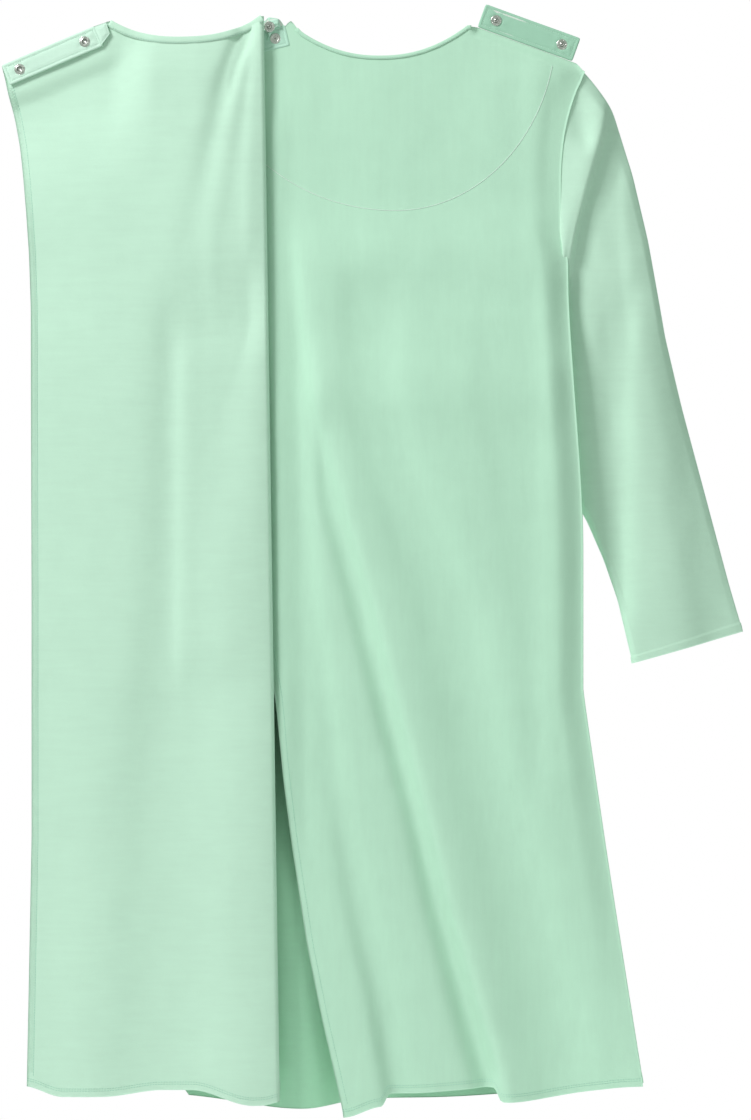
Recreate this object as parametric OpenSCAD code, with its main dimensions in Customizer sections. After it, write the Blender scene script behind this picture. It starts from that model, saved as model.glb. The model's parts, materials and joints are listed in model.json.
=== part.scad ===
// Open-back patient gown, hung upright with its back towards -Y. The outer back panel is
// unsnapped at the right shoulder and folded open to the left. Origin: midway between the
// neck points, in the plane of the back. +Z up, millimetres.

/* [Body] */
// Half the neck width, from the centre line to a neck point
neck_half = 92; // [84:1:100]
// Depth of the back neckline below the neck points
back_neck_drop = 32; // [24:1:45]
// Depth of the front neckline below the neck points
front_neck_drop = 90; // [70:1:110]
// Distance of a shoulder tip from the centre line
tip_x = 214; // [206:1:222]
// Drop from a neck point to a shoulder tip
tip_drop = 47; // [40:1:54]
// Depth of the underarm below the neck points
underarm_drop = 248; // [235:1:260]
// Half width at the underarm
chest_half = 196; // [192:1:200]
// Half width at the hem
hem_half = 274; // [262:1:286]
// Length from the neck points to the side of the hem
hem_drop = 1100; // [1060:5:1140]
// Depth of the garment from back to front at the chest
chest_depth = 58; // [50:1:66]

/* [Fabric] */
// Thickness of one layer of knit fabric
cloth_t = 1; // [0.8:0.1:1.2]
// Gap kept between layers that can move on each other
ply_gap = 0.7; // [0.6:0.1:0.8]

/* [Folded panel] */
// Distance of the fold line from the centre line at the neck
crease_x_top = 121; // [118:1:124]
// Distance of the fold line from the centre line at the hem
crease_x_hem = 104.5; // [102:0.5:107]
// Width of the panel from the fold line to its free edge, at mid length
flap_w = 252; // [240:1:258]
// Drop of the folded panel's hem below the neck points
flap_drop = 1112; // [1100:1:1120]

/* [Sleeves] */
// Drop of the outer end of the cuff below the neck points
cuff_drop = 631; // [610:1:640]
// Sideways reach of the cuff's outer end
cuff_reach = 382; // [378:1:386]
// How far the left cuff hangs inward of the right one's place
left_cuff_in = 31; // [24:1:34]

/* [Shoulder tabs and strips] */
// Length of each stud tab and each socket strip
tab_len = 105; // [100:1:108]
// Height of a stud tab
tab_h = 25.6; // [24:0.1:27]
// Height of a socket strip
strip_h = 22.6; // [21:0.1:24]
// Thickness of a tab or strip, both of its layers and the interfacing
tab_t = 2.2; // [2:0.1:2.4]
// Thickness of the interfacing inside
interfacing_t = 0.8; // [0.6:0.1:0.8]
// Distance from a tab's end to the nearest snap
snap_inset = 16; // [14:0.5:18]
// Distance between the two snaps of a tab
snap_pitch = 73; // [70:1:75]

/* [Ring snaps] */
// Radius of a snap's flange
snap_r = 5.6; // [5.2:0.1:6]
// Radius of the stud that enters the socket
stud_r = 1.9; // [1.8:0.05:2]
// Height of the stud above its flange
stud_h = 2.2; // [2:0.1:2.4]
// Thickness of a flange or a prong ring
flange_t = 0.6; // [0.5:0.05:0.7]

/* [Hidden] */
$fn = 48;

mint = [0.72, 0.89, 0.79];
mint_inside = [0.79, 0.93, 0.86];
mint_tab = [0.65, 0.84, 0.74];
felt = [0.9, 0.92, 0.9];
nickel = [0.8, 0.8, 0.8];

// Layer planes, from the wearer's side outwards
tab_y = 2.4;
side_y = 0;
swing_y = side_y - 3.2;
swing_facing_y = swing_y + cloth_t + 0.2;
outer_y = -8;
flap_y = -16;
crease_y = (outer_y + flap_y) / 2;
seam_y = 11;
front_top_y = 9;

split_x = 60;
margin_x = -172;
crease_gap = 0.8;
cap_clearance = 2.4;
tab_turn = 20;
strip_turn = 23;
inner_strip_turn = 14;
left_tab_lean = 40;
binding_h = 7;
binding_lift = 2.4;
facing_lift = 1;
facing_reach = 209;
prong_count = 5;
prong_r = 0.35;
prong_circle = 4.2;
prong_slack = 0.1;
cavity_wall = 2;
cavity_slack = 0.05;

// Where each tab and strip starts on its shoulder, as [x, z]
right_tab_at = [101.6, 0.2];
left_tab_at = [-96.5, -9];
flap_strip_at = [-392, -43.4];
inner_strip_at = [-98.8, 1.4];

function mix(a, b, t) = a + (b - a) * t;
function clamp01(t) = max(0, min(1, t));
function smooth(t) = let (c = clamp01(t)) c * c * (3 - 2 * c);
function fall(z, top, bottom) = clamp01((top - z) / (top - bottom));

// Half width of the body at height z: armhole curve above the underarm, side seam below it
function armhole_x(z) =
    let (t = fall(z, -tip_drop, -underarm_drop))
    mix(188.6, tip_x, pow(clamp01(1 - t / 0.6), 2.4)) + 7.4 * smooth((t - 0.8) / 0.2);
function side_x(z) =
    chest_half + 15 * smooth(fall(z, -underarm_drop, -underarm_drop - 300))
    + (hem_half - chest_half - 15) * pow(fall(z, -690, -hem_drop), 1.05);
function half_x(z) = z > -underarm_drop ? armhole_x(z) : side_x(z);

// Height of the top edge at x for a neckline of the given drop
function shoulder_z(x) = -tip_drop * (abs(x) - neck_half) / (tip_x - neck_half);
function neck_z(x, drop) =
    abs(x) < neck_half ? -drop * (1 - pow(abs(x) / neck_half, 2.2)) : shoulder_z(x);

// Depth of the side seam and of the rounded front
function side_depth(z) = mix(front_top_y - 5, seam_y, smooth(-z / 200));
function front_y(x, z) =
    mix(front_top_y, side_depth(z) + 1, smooth(-z / 200))
    + mix(0, chest_depth - seam_y, smooth((-z - 10) / 240)) * (1 - pow(min(1, abs(x) / half_x(z)), 2.4));
function back_y(x, z) =
    side_y + (side_depth(z) - 1) * smooth((abs(x) - 120) / (half_x(z) - 120)) * smooth(-z / 150);
function outer_back_y(x, z) =
    mix(outer_y, side_depth(z) - 2,
        smooth((-x - 176) / (half_x(z) - 176)) * smooth((-z - 100) / 100));

// The fold line, its neckline side and the folded panel's free edge
function crease_x(z) = mix(-crease_x_top, -crease_x_hem, fall(z, 10, -flap_drop));
function flap_neck_z(x) =
    let (t = (x + 282) / 160)
    4 + 4.5 * t - 21.7 * (1 - pow(abs(2 * t - 1), 2.4));
function flap_top_z(x) =
    x > -282 ? flap_neck_z(min(x, -122)) : 4 + (x + 282) * tan(strip_turn) - 1.5;
function flap_edge_x(z) =
    -109 - flap_w - 31 * pow(1 - fall(z, -40, -320), 2.2);

// A sheet over the surface point(u, v), cloth_t thick along Y
module sheet(point, nu, nv, t = cloth_t) {
    grid = [for (side = [-1, 1]) for (j = [0 : nv]) for (i = [0 : nu])
            point(i / nu, j / nv) + [0, side * t / 2, 0]];
    function at(side, i, j) = side * (nu + 1) * (nv + 1) + j * (nu + 1) + i;
    skins = [for (j = [0 : nv - 1]) for (i = [0 : nu - 1]) each [
        [at(0, i, j), at(0, i + 1, j), at(0, i + 1, j + 1)],
        [at(0, i, j), at(0, i + 1, j + 1), at(0, i, j + 1)],
        [at(1, i, j), at(1, i + 1, j + 1), at(1, i + 1, j)],
        [at(1, i, j), at(1, i, j + 1), at(1, i + 1, j + 1)]]];
    across = [for (i = [0 : nu - 1]) each [
        [at(0, i, 0), at(1, i, 0), at(1, i + 1, 0)],
        [at(0, i, 0), at(1, i + 1, 0), at(0, i + 1, 0)],
        [at(0, i, nv), at(1, i + 1, nv), at(1, i, nv)],
        [at(0, i, nv), at(0, i + 1, nv), at(1, i + 1, nv)]]];
    down = [for (j = [0 : nv - 1]) each [
        [at(0, 0, j), at(1, 0, j + 1), at(1, 0, j)],
        [at(0, 0, j), at(0, 0, j + 1), at(1, 0, j + 1)],
        [at(0, nu, j), at(1, nu, j), at(1, nu, j + 1)],
        [at(0, nu, j), at(1, nu, j + 1), at(0, nu, j + 1)]]];
    polyhedron(grid, concat(skins, across, down));
}

// A panel between two side edges, from a top edge down to a hem
module panel(left, right, top, bottom, depth, nu, nv, t = cloth_t) {
    sheet(function (u, v)
        let (zn = mix(-tip_drop, -hem_drop, v),
             x = mix(left(zn), right(zn), u),
             z = mix(top(x), bottom(x), v))
        [x, depth(x, z), z], nu, nv, t);
}

// Place a tab or strip: local X runs along the shoulder, local Z stands up from it
module along_shoulder(at, turn) {
    translate([at[0], 0, at[1]])
        rotate([0, turn, 0])
            children();
}

module at_snaps() {
    for (x = [snap_inset, snap_inset + snap_pitch])
        translate([x, 0, 0])
            children();
}

// A solid turned so that its axis points towards -Y, with its base in the plane y = 0
module outward() {
    rotate([90, 0, 0])
        children();
}

module prongs(length, r) {
    for (k = [0 : prong_count - 1])
        rotate(k * 360 / prong_count)
            translate([prong_circle, 0, 0])
                cylinder(h = length, r = r);
}

// Folded fabric of a tab or strip: hollow, pierced by the prongs of its snaps
module tab_cover(h) {
    difference() {
        cube([tab_len, tab_t, h]);
        translate([cavity_wall, (tab_t - interfacing_t) / 2 - cavity_slack, cavity_wall])
            cube([tab_len - 2 * cavity_wall, interfacing_t + 2 * cavity_slack, h - 2 * cavity_wall]);
        at_snaps()
            translate([0, tab_t + 1, h / 2])
                outward()
                    prongs(tab_t + 2, prong_r + prong_slack);
    }
}

module tab_filling(h) {
    inset = cavity_wall + cavity_slack;
    difference() {
        translate([inset, (tab_t - interfacing_t) / 2, inset])
            cube([tab_len - 2 * inset, interfacing_t, h - 2 * inset]);
        at_snaps()
            translate([0, tab_t + 1, h / 2])
                outward()
                    prongs(tab_t + 2, prong_r + prong_slack);
    }
}

module stud() {
    rotate_extrude()
        polygon([[0, 0], [snap_r, 0], [snap_r, flange_t * 0.6], [snap_r - 0.4, flange_t],
                 [stud_r, flange_t], [stud_r, flange_t + stud_h - 0.3],
                 [stud_r - 0.3, flange_t + stud_h], [0, flange_t + stud_h]]);
}

// A socket: flange, collar, bore and the groove that holds its spring
module socket() {
    bore_r = stud_r + 0.1;
    rotate_extrude()
        polygon([[bore_r, flange_t], [bore_r, flange_t + 0.5], [bore_r + 0.7, flange_t + 0.5],
                 [bore_r + 0.7, flange_t + 1.2], [bore_r, flange_t + 1.2],
                 [bore_r, flange_t + 1.7], [bore_r + 1.2, flange_t + 1.7],
                 [bore_r + 1.6, flange_t + 1.3], [bore_r + 1.6, flange_t],
                 [snap_r, flange_t * 0.6], [snap_r, 0], [0, 0], [0, flange_t]]);
}

module socket_spring() {
    translate([0, 0, flange_t + 0.85])
        rotate_extrude()
            translate([stud_r + 0.42, 0])
                circle(r = 0.26, $fn = 24);
}

module prong_ring() {
    rotate_extrude()
        polygon([[3.1, 0], [snap_r, 0], [snap_r, flange_t * 0.5], [snap_r - 0.5, flange_t],
                 [3.5, flange_t], [3.1, flange_t * 0.5]]);
}

// The two snaps' outer halves on a tab or strip of height h, and the rings behind it
module outer_halves(h) {
    at_snaps()
        translate([0, 0, h / 2])
            outward()
                children();
}

module ring_halves(h) {
    at_snaps()
        translate([0, tab_t, h / 2]) {
            rotate([-90, 0, 0])
                prong_ring();
            outward()
                prongs(tab_t, prong_r);
        }
}

module right_tab_place() {
    translate([0, tab_y, 0])
        along_shoulder(right_tab_at, tab_turn)
            children();
}

module left_tab_place() {
    translate([0, tab_y + 2, 0])
        translate([left_tab_at[0], 0, left_tab_at[1]])
            rotate([0, -tab_turn, 0])
                rotate([-left_tab_lean, 0, 0])
                    translate([-tab_len, 0, 0])
                        children();
}

module flap_strip_place() {
    translate([0, flap_y - cloth_t / 2 - ply_gap - flange_t - tab_t, 0])
        along_shoulder(flap_strip_at, -strip_turn)
            translate([0, 0, -strip_h])
                children();
}

// The inner strip faces the wearer, so its snaps' rings are on the outside
module inner_strip_place() {
    translate([inner_strip_at[0], swing_y + tab_t / 2, inner_strip_at[1]])
        rotate([0, -inner_strip_turn, 0])
            translate([0, 0, -strip_h])
                rotate([0, 0, 180])
                    children();
}

// The front panel stays clear of the leaning left tab
function front_top_gap(x) = x < -neck_half && x > -197 ? 13.5 : 3.5;

// Half width of the front panel, drawn in near the shoulder tips to clear the sleeves' caps
function front_half_x(z) = half_x(z) - cap_clearance * smooth(fall(z, -130, -60));

module front_panel() {
    color(mint)
        panel(function (z) -front_half_x(z), function (z) front_half_x(z),
              function (x) neck_z(x, front_neck_drop) - front_top_gap(x),
              function (x) -hem_drop - 22 * (1 - pow(abs(x) / hem_half, 2)),
              function (x, z) front_y(x, z), 24, 18);
}

// Narrow band sewn over an edge that runs at height top(x)
module edge_band(x0, x1, top, depth, n) {
    sheet(function (u, v)
        let (x = mix(x0, x1, u), z = top(x) - binding_h * v)
        [x, depth(x, z), z], n, 1);
}

module front_neck_binding() {
    color(mint_tab)
        edge_band(3 - neck_half, neck_half - 3,
                  function (x) neck_z(x, front_neck_drop) - 3.5,
                  function (x, z) front_y(x, z) + cloth_t + binding_lift, 20);
}

function inner_hem_z(x) = -hem_drop - 10 * smooth((hem_half - x) / 150) - 14 * smooth((20 - x) / 60);

module inner_back_side() {
    color(mint)
        panel(function (z) split_x, function (z) half_x(z) - 0.6,
              function (x) neck_z(x, back_neck_drop) - 1,
              function (x) inner_hem_z(x),
              function (x, z) back_y(x, z), 10, 18);
}

// Left edge of the swinging part: a hidden margin that runs back to the hem's corner
function margin_edge_x(z) = mix(margin_x, -38, pow(fall(z, -420, -hem_drop - 32), 1.25));

module inner_back_panel() {
    color(mint)
        panel(function (z) margin_edge_x(z), function (z) split_x - 0.5,
              function (x) neck_z(x, back_neck_drop) - (x < -78 ? strip_h : 1),
              function (x) inner_hem_z(x),
              function (x, z) swing_y, 14, 16);
}

// Lower edge of the half-moon facing inside the neck
function facing_z(x) =
    let (c = 16, r = x > 16 ? 166 : 200)
    -facing_reach * sqrt(max(0.02, 1 - pow((x - c) / r, 2)));

module facing(x0, x1, depth, n) {
    sheet(function (u, v)
        let (x = mix(x0, x1, u),
             top = neck_z(x, back_neck_drop) - 2.5,
             z = mix(top, min(top - 5, facing_z(x)), v))
        [x, depth(x, z), z], n, 4, 0.8);
}

module inner_facing_side() {
    color(mint_inside)
        facing(split_x, 176, function (x, z) back_y(x, z) + cloth_t + facing_lift, 10);
}

module inner_facing_neck() {
    color(mint_inside)
        facing(-88, split_x - 0.5, function (x, z) swing_facing_y, 10);
}

module outer_back_side() {
    color(mint)
        panel(function (z) -half_x(z), function (z) crease_x(z) - crease_gap,
              function (x) shoulder_z(x) - 1,
              function (x) -hem_drop - 12 * smooth((x + hem_half) / 60),
              function (x, z) outer_back_y(x, z), 10, 18);
}

module outer_back_flap() {
    color(mint_inside)
        panel(function (z) flap_edge_x(z), function (z) crease_x(z) - crease_gap,
              function (x) flap_top_z(x),
              function (x) -flap_drop + 8 * smooth((-x - 130) / 120),
              function (x, z) flap_y, 20, 18);
}

module outer_neck_binding() {
    color(mint_tab)
        edge_band(-278, -124.5, function (x) flap_neck_z(x),
                  function (x, z) flap_y - cloth_t - 0.3, 16);
}

// Sleeve edges: height falls evenly with s, and x follows the sleeve's outline. The cuff
// hangs inward by the amount inset
sleeve_outer = [[0, 214], [0.065, 240], [0.18, 262], [0.3, 279], [0.47, 297.5],
                [0.6, 317], [0.74, 339.5], [0.92, 368], [1, 382]];
sleeve_inner = [[0, 199], [0.25, 208], [0.59, 215], [0.66, 223], [0.74, 236], [0.82, 250], [1, 265]];
function sway(s, inset) = inset * smooth((s - 0.55) / 0.45);
function outer_edge(s, inset) =
    [lookup(s, sleeve_outer) + (cuff_reach - 382) * s - sway(s, inset), mix(-tip_drop, -cuff_drop, s)];
function inner_edge(s, inset) =
    [lookup(s, sleeve_inner) - sway(s, inset), mix(-underarm_drop - 2, -cuff_drop - 32.5, s)];
function sleeve_depth(s) = lookup(s, [[0, 7], [0.12, 20], [0.3, 27], [0.55, 24], [1, 13]]);
function sleeve_y(s) = lookup(s, [[0, 13], [0.15, 20], [0.5, 24], [1, 20]]);

// Point of the sleeve at angle a round it and s along it, moved out by off
function sleeve_point(a, s, off, inset) =
    let (o = outer_edge(s, inset), i = inner_edge(s, inset),
         mid = (o + i) / 2, half = (o - i) / 2,
         grow = 1 + off / max(20, norm(half)),
         bow = -15 * pow(abs(sin(a)), 1.5) * pow(1 - s, 8))
    [mid[0] + half[0] * cos(a) * grow + bow + 2.5 * (1 - s),
     sleeve_y(s) - (sleeve_depth(s) + off) * sin(a),
     mid[1] + half[1] * cos(a) * grow];

module sleeve(inset, na = 24, ns = 16) {
    offs = [cloth_t / 2, -cloth_t / 2];
    rings = [for (off = offs) for (j = [0 : ns]) for (i = [0 : na - 1])
             sleeve_point(i * 360 / na, j / ns, off, inset)];
    function at(side, i, j) = side * na * (ns + 1) + j * na + (i % na);
    walls = [for (j = [0 : ns - 1]) for (i = [0 : na - 1]) each [
        [at(0, i, j), at(0, i + 1, j + 1), at(0, i + 1, j)],
        [at(0, i, j), at(0, i, j + 1), at(0, i + 1, j + 1)],
        [at(1, i, j), at(1, i + 1, j), at(1, i + 1, j + 1)],
        [at(1, i, j), at(1, i + 1, j + 1), at(1, i, j + 1)]]];
    rims = [for (i = [0 : na - 1]) each [
        [at(0, i, 0), at(0, i + 1, 0), at(1, i + 1, 0)],
        [at(0, i, 0), at(1, i + 1, 0), at(1, i, 0)],
        [at(0, i, ns), at(1, i + 1, ns), at(0, i + 1, ns)],
        [at(0, i, ns), at(1, i, ns), at(1, i + 1, ns)]]];
    polyhedron(rings, concat(walls, rims));
}

module right_sleeve() {
    color(mint)
        sleeve(0);
}

module left_sleeve() {
    color(mint)
        mirror([1, 0, 0])
            sleeve(left_cuff_in);
}

module right_tab() {
    color(mint_tab)
        right_tab_place()
            tab_cover(tab_h);
}

module left_tab() {
    color(mint_tab)
        left_tab_place()
            tab_cover(tab_h);
}

module right_tab_interfacing() {
    color(felt)
        right_tab_place()
            tab_filling(tab_h);
}

module left_tab_interfacing() {
    color(felt)
        left_tab_place()
            tab_filling(tab_h);
}

module flap_strip() {
    color(mint_tab)
        flap_strip_place()
            tab_cover(strip_h);
}

module inner_strip() {
    color(mint_tab)
        inner_strip_place()
            tab_cover(strip_h);
}

module flap_strip_interfacing() {
    color(felt)
        flap_strip_place()
            tab_filling(strip_h);
}

module inner_strip_interfacing() {
    color(felt)
        inner_strip_place()
            tab_filling(strip_h);
}

module right_studs() {
    color(nickel)
        right_tab_place()
            outer_halves(tab_h)
                stud();
}

module left_studs() {
    color(nickel)
        left_tab_place()
            outer_halves(tab_h)
                stud();
}

module right_stud_rings() {
    color(nickel)
        right_tab_place()
            ring_halves(tab_h);
}

module left_stud_rings() {
    color(nickel)
        left_tab_place()
            ring_halves(tab_h);
}

module flap_sockets() {
    color(nickel)
        flap_strip_place()
            outer_halves(strip_h)
                socket();
}

module inner_sockets() {
    color(nickel)
        inner_strip_place()
            outer_halves(strip_h)
                socket();
}

module flap_socket_springs() {
    color(nickel)
        flap_strip_place()
            outer_halves(strip_h)
                socket_spring();
}

module inner_socket_springs() {
    color(nickel)
        inner_strip_place()
            outer_halves(strip_h)
                socket_spring();
}

module flap_socket_rings() {
    color(nickel)
        flap_strip_place()
            ring_halves(strip_h);
}

module inner_socket_rings() {
    color(nickel)
        inner_strip_place()
            ring_halves(strip_h);
}

front_panel();
front_neck_binding();
inner_back_side();
inner_facing_side();
inner_back_panel();
inner_facing_neck();
outer_back_side();
outer_back_flap();
outer_neck_binding();
right_sleeve();
left_sleeve();
right_tab();
left_tab();
right_tab_interfacing();
left_tab_interfacing();
flap_strip();
inner_strip();
flap_strip_interfacing();
inner_strip_interfacing();
right_studs();
left_studs();
right_stud_rings();
left_stud_rings();
flap_sockets();
inner_sockets();
flap_socket_springs();
inner_socket_springs();
flap_socket_rings();
inner_socket_rings();
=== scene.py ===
"""Looks of the open-back patient gown: knit panels, sleeves, tabs, strips, ring snaps and stitching.
Shapes are worked out in millimetres in the CAD frame (+Z up, back towards -Y) and made in metres."""
import json
import math

import bpy
import numpy as np
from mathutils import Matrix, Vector, noise


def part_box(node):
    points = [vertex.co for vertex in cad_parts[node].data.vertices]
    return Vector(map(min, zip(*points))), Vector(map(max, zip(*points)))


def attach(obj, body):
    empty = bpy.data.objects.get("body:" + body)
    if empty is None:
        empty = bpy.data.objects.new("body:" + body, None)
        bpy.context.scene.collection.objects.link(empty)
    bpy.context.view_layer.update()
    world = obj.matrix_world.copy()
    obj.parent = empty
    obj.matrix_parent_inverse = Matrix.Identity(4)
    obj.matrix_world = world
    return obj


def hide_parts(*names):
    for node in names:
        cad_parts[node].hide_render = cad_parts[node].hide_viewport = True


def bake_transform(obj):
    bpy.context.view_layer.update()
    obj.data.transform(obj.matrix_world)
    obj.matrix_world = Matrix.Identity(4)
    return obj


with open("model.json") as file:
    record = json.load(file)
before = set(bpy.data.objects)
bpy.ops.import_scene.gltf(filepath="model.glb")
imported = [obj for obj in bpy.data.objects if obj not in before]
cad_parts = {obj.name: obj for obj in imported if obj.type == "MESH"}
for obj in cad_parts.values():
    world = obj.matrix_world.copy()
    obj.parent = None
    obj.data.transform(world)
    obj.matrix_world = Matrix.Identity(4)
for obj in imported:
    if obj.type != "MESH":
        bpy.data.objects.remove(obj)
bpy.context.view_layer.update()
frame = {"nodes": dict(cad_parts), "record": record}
MM = 0.001


def joint(name):
    return next(j for j in frame["record"]["behaviour"]["joints"] if j["name"] == name)


def joint_at(name):
    return np.array(joint(name)["pos_m"]) / MM


def mm_box(node):
    low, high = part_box(node)
    return np.array(low) / MM, np.array(high) / MM


# ---------------------------------------------------------------- main sizes, from the frame
CLOTH_T = 1.0
HEM_T = 1.7
HEM_H = 9.0
CREASE_AT = joint_at("outer_flap_fold")
CREASE_DIR = np.array(joint("outer_flap_fold")["axis"])
TIP_X, _, TIP_Z = joint_at("right_sleeve_swing")
TIP_DROP = -TIP_Z
NECK_HALF = 92.0
BACK_NECK_DROP = 32.0
FRONT_NECK_DROP = 90.0
UNDERARM_DROP = 248.0
CHEST_HALF = 196.0
CHEST_DEPTH = 58.0
HEM_HALF = mm_box("front_panel")[1][0]
HEM_DROP = 1100.0

# Depths of the cloth's middle: side seams, shoulder seam and the three back layers
SEAM_Y = -0.5
SIDE_FORWARD = 8.0
SHOULDER_SEAM_Y = 3.4
INNER_Y = mm_box("inner_back_panel")[0][1] + CLOTH_T / 2
OUTER_Y = mm_box("outer_back_side")[0][1] + CLOTH_T / 2
FLAP_Y = mm_box("outer_back_flap")[0][1] + CLOTH_T / 2
CREASE_R = (OUTER_Y - FLAP_Y) / 2

# Slopes of the tabs and strips, in degrees
TAB_TILT = 20
FLAP_STRIP_TILT = 23
INNER_STRIP_TILT = 14
LEFT_TAB_LEAN = 40
TAB_SLOPE = math.tan(math.radians(TAB_TILT))
STRIP_SLOPE = math.tan(math.radians(FLAP_STRIP_TILT))
STRIP_LEFT_X = -392
STRIP_LOW_Z = -68.5
FLAP_NECK_X = -282
FLAP_NECK_W = 160


# ---------------------------------------------------------------- small maths
def mix(a, b, t):
    return a + (b - a) * t


def smooth(t):
    c = np.clip(t, 0.0, 1.0)
    return c * c * (3 - 2 * c)


def fall(z, top, bottom):
    return np.clip((top - z) / (top - bottom), 0.0, 1.0)


def blurred(value, n):
    """Rounds off a row of numbers over n of them."""
    kernel = np.hanning(n + 2)[1:-1]
    return np.convolve(np.pad(value, n, mode="edge"), kernel / kernel.sum(), "same")[n:-n]


def down(*points, blur=60.0):
    """A smooth function of height from a few (height, value) points, given from the top down."""
    z = np.arange(60.0, -1240.0, -4.0)
    value = np.interp(-z, [-p[0] for p in points], [p[1] for p in points])
    value = blurred(value, max(3, int(blur / 4.0) | 1))
    return lambda q: np.interp(-np.asarray(q, float), -z, value)


def ripple(x, z, size, seed):
    """Slow, seeded unevenness between -1 and 1."""
    flat_x, flat_z = np.ravel(x), np.ravel(z)
    out = [
        noise.noise(Vector((a / size, seed * 7.3, b / (size * 2.2)))) for a, b in zip(flat_x, flat_z)
    ]
    return np.array(out).reshape(np.shape(x))


# ---------------------------------------------------------------- outlines
def armhole_x(z):
    t = fall(z, -TIP_DROP, -UNDERARM_DROP)
    return mix(188.6, TIP_X, np.clip(1 - t / 0.6, 0, 1) ** 2.4) + 7.4 * smooth((t - 0.8) / 0.2)


def side_x(z):
    flare = (HEM_HALF - CHEST_HALF - 15) * fall(z, -690, -HEM_DROP) ** 1.05
    return CHEST_HALF + 15 * smooth(fall(z, -UNDERARM_DROP, -UNDERARM_DROP - 300)) + flare


def half_x(z):
    return np.where(z > -UNDERARM_DROP, armhole_x(z), side_x(z))


def shoulder_z(x):
    return -TIP_DROP * (np.abs(x) - NECK_HALF) / (TIP_X - NECK_HALF)


def neck_z(x, drop):
    scoop = -drop * (1 - np.minimum(1, np.abs(x) / NECK_HALF) ** 2.2)
    return np.where(np.abs(x) < NECK_HALF, scoop, shoulder_z(x))


def crease_x(z):
    along = (z - CREASE_AT[2]) / CREASE_DIR[2]
    return CREASE_AT[0] + CREASE_DIR[0] * along


def seam_y(z):
    return mix(2.5, SEAM_Y, smooth(-(z + 40) / 80))


def seam_gap(z):
    """Half the distance between the back and the front panel at their side edges: wider along the
    armhole, where the sleeve is sewn between them."""
    return mix(1.6, 0.6, smooth(-(z + UNDERARM_DROP + 6) / 24))


def back_neck_z(x):
    """Top edge of the inner back panel: neckline, then the seam under the right tab; on the left it
    rises to the corner where the strip is sewn on."""
    base = neck_z(x, BACK_NECK_DROP)
    under_tab = -0.4 - np.maximum(0, x - 101.6) * TAB_SLOPE
    right = mix(base, under_tab, smooth((x - 91) / 5) * smooth((213 - x) / 9))
    corner = 5.5 * np.exp(-(((x + 93) / 6.5) ** 2))
    left = np.minimum(base, 0) + corner - 14 * smooth((-101 - x) / 12)
    return np.where(x > 0, right, left)


# ---------------------------------------------------------------- fold fields, towards the camera
def slope_step(x, z, centre, rise, width):
    """A rise (or fall) towards the camera that is centred on the line centre(z)."""
    return rise(z) * 0.5 * (1 + np.tanh((x - centre(z)) / width(z)))


def fold_line(start, end, fade, *points, rise, width, blur=24):
    """A slope step along (z, x) points between two heights, with ends that fade out over fade mm.
    rise and width are one number or a pair from its top to its bottom."""
    tops = [p[0] for p in points]
    rises = rise if isinstance(rise, tuple) else (rise, rise)
    widths = width if isinstance(width, tuple) else (width, width)

    def height(z):
        t = fall(z, tops[0], tops[-1])
        shown = smooth((start + fade - z) / fade) * smooth((z - end + fade) / fade)
        return mix(rises[0], rises[1], t) * shown

    def spread(z):
        return mix(widths[0], widths[1], fall(z, tops[0], tops[-1]))

    return down(*points, blur=blur), height, spread


def fold_sum(x, z, folds):
    return sum(slope_step(x, z, *fold) for fold in folds)


# Light comes from the left, so a rise reads as a bright line and a fall as a dark one
FLAP_FOLDS = [
    fold_line(20, -260, 50, (0, -146), (-30, -158), (-67, -171), (-104, -178), (-142, -187), (-230, -205),
              rise=(-4.4, -1.6), width=(4.5, 13)),
    fold_line(10, -58, 20, (0, -142), (-17, -146), (-42, -156), (-60, -160), rise=0.9, width=2.6, blur=12),
    fold_line(10, -58, 20, (0, -137), (-17, -141), (-42, -151), (-60, -156), rise=-1.5, width=2.6, blur=12),
    fold_line(20, -260, 50, (0, -127), (-17, -133), (-42, -145), (-67, -153), (-104, -163), (-142, -170),
              (-210, -181), rise=(4.2, 1.6), width=(4, 10), blur=16),
    fold_line(10, -260, 50, (-20, -134), (-54, -140), (-79, -145), (-104, -149), (-160, -157), (-230, -168),
              rise=(-1.5, -0.8), width=(3, 7), blur=16),
    fold_line(10, -200, 50, (-17, -130), (-54, -132), (-104, -137), (-160, -141), rise=1.4, width=(3, 6)),
    fold_line(-330, -1110, 90, (-300, -226), (-600, -236), (-780, -256), (-1110, -268), rise=(-5.2, -7.5),
              width=(14, 32)),
    fold_line(-360, -640, 60, (-330, -208), (-660, -210), rise=2.8, width=7),
    fold_line(-280, -700, 60, (-250, -190), (-700, -194), rise=(-1.3, -0.6), width=9),
    fold_line(-560, -1110, 120, (-500, -172), (-1110, -168), rise=(3, 6), width=(20, 28)),
    fold_line(-560, -1110, 120, (-500, -325), (-1110, -322), rise=(0.8, 2.4), width=20),
]


FLAP_FOLD_GAIN = 1.35
INNER_FOLD_GAIN = 1.45
HOLLOW_DEPTH = 11
HOLLOW_BELOW_STRIP = 29
ROLL_WIDTH = 19


def strip_bottom_z(x):
    return STRIP_LOW_Z + (x - STRIP_LEFT_X) * STRIP_SLOPE


def below_strip(x, z):
    """0 behind the socket strip at the flap's shoulder, rising to 1 well under it."""
    return np.maximum(smooth((strip_bottom_z(x) - 3 - z) / 26), smooth((x + 292) / 30))


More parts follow.
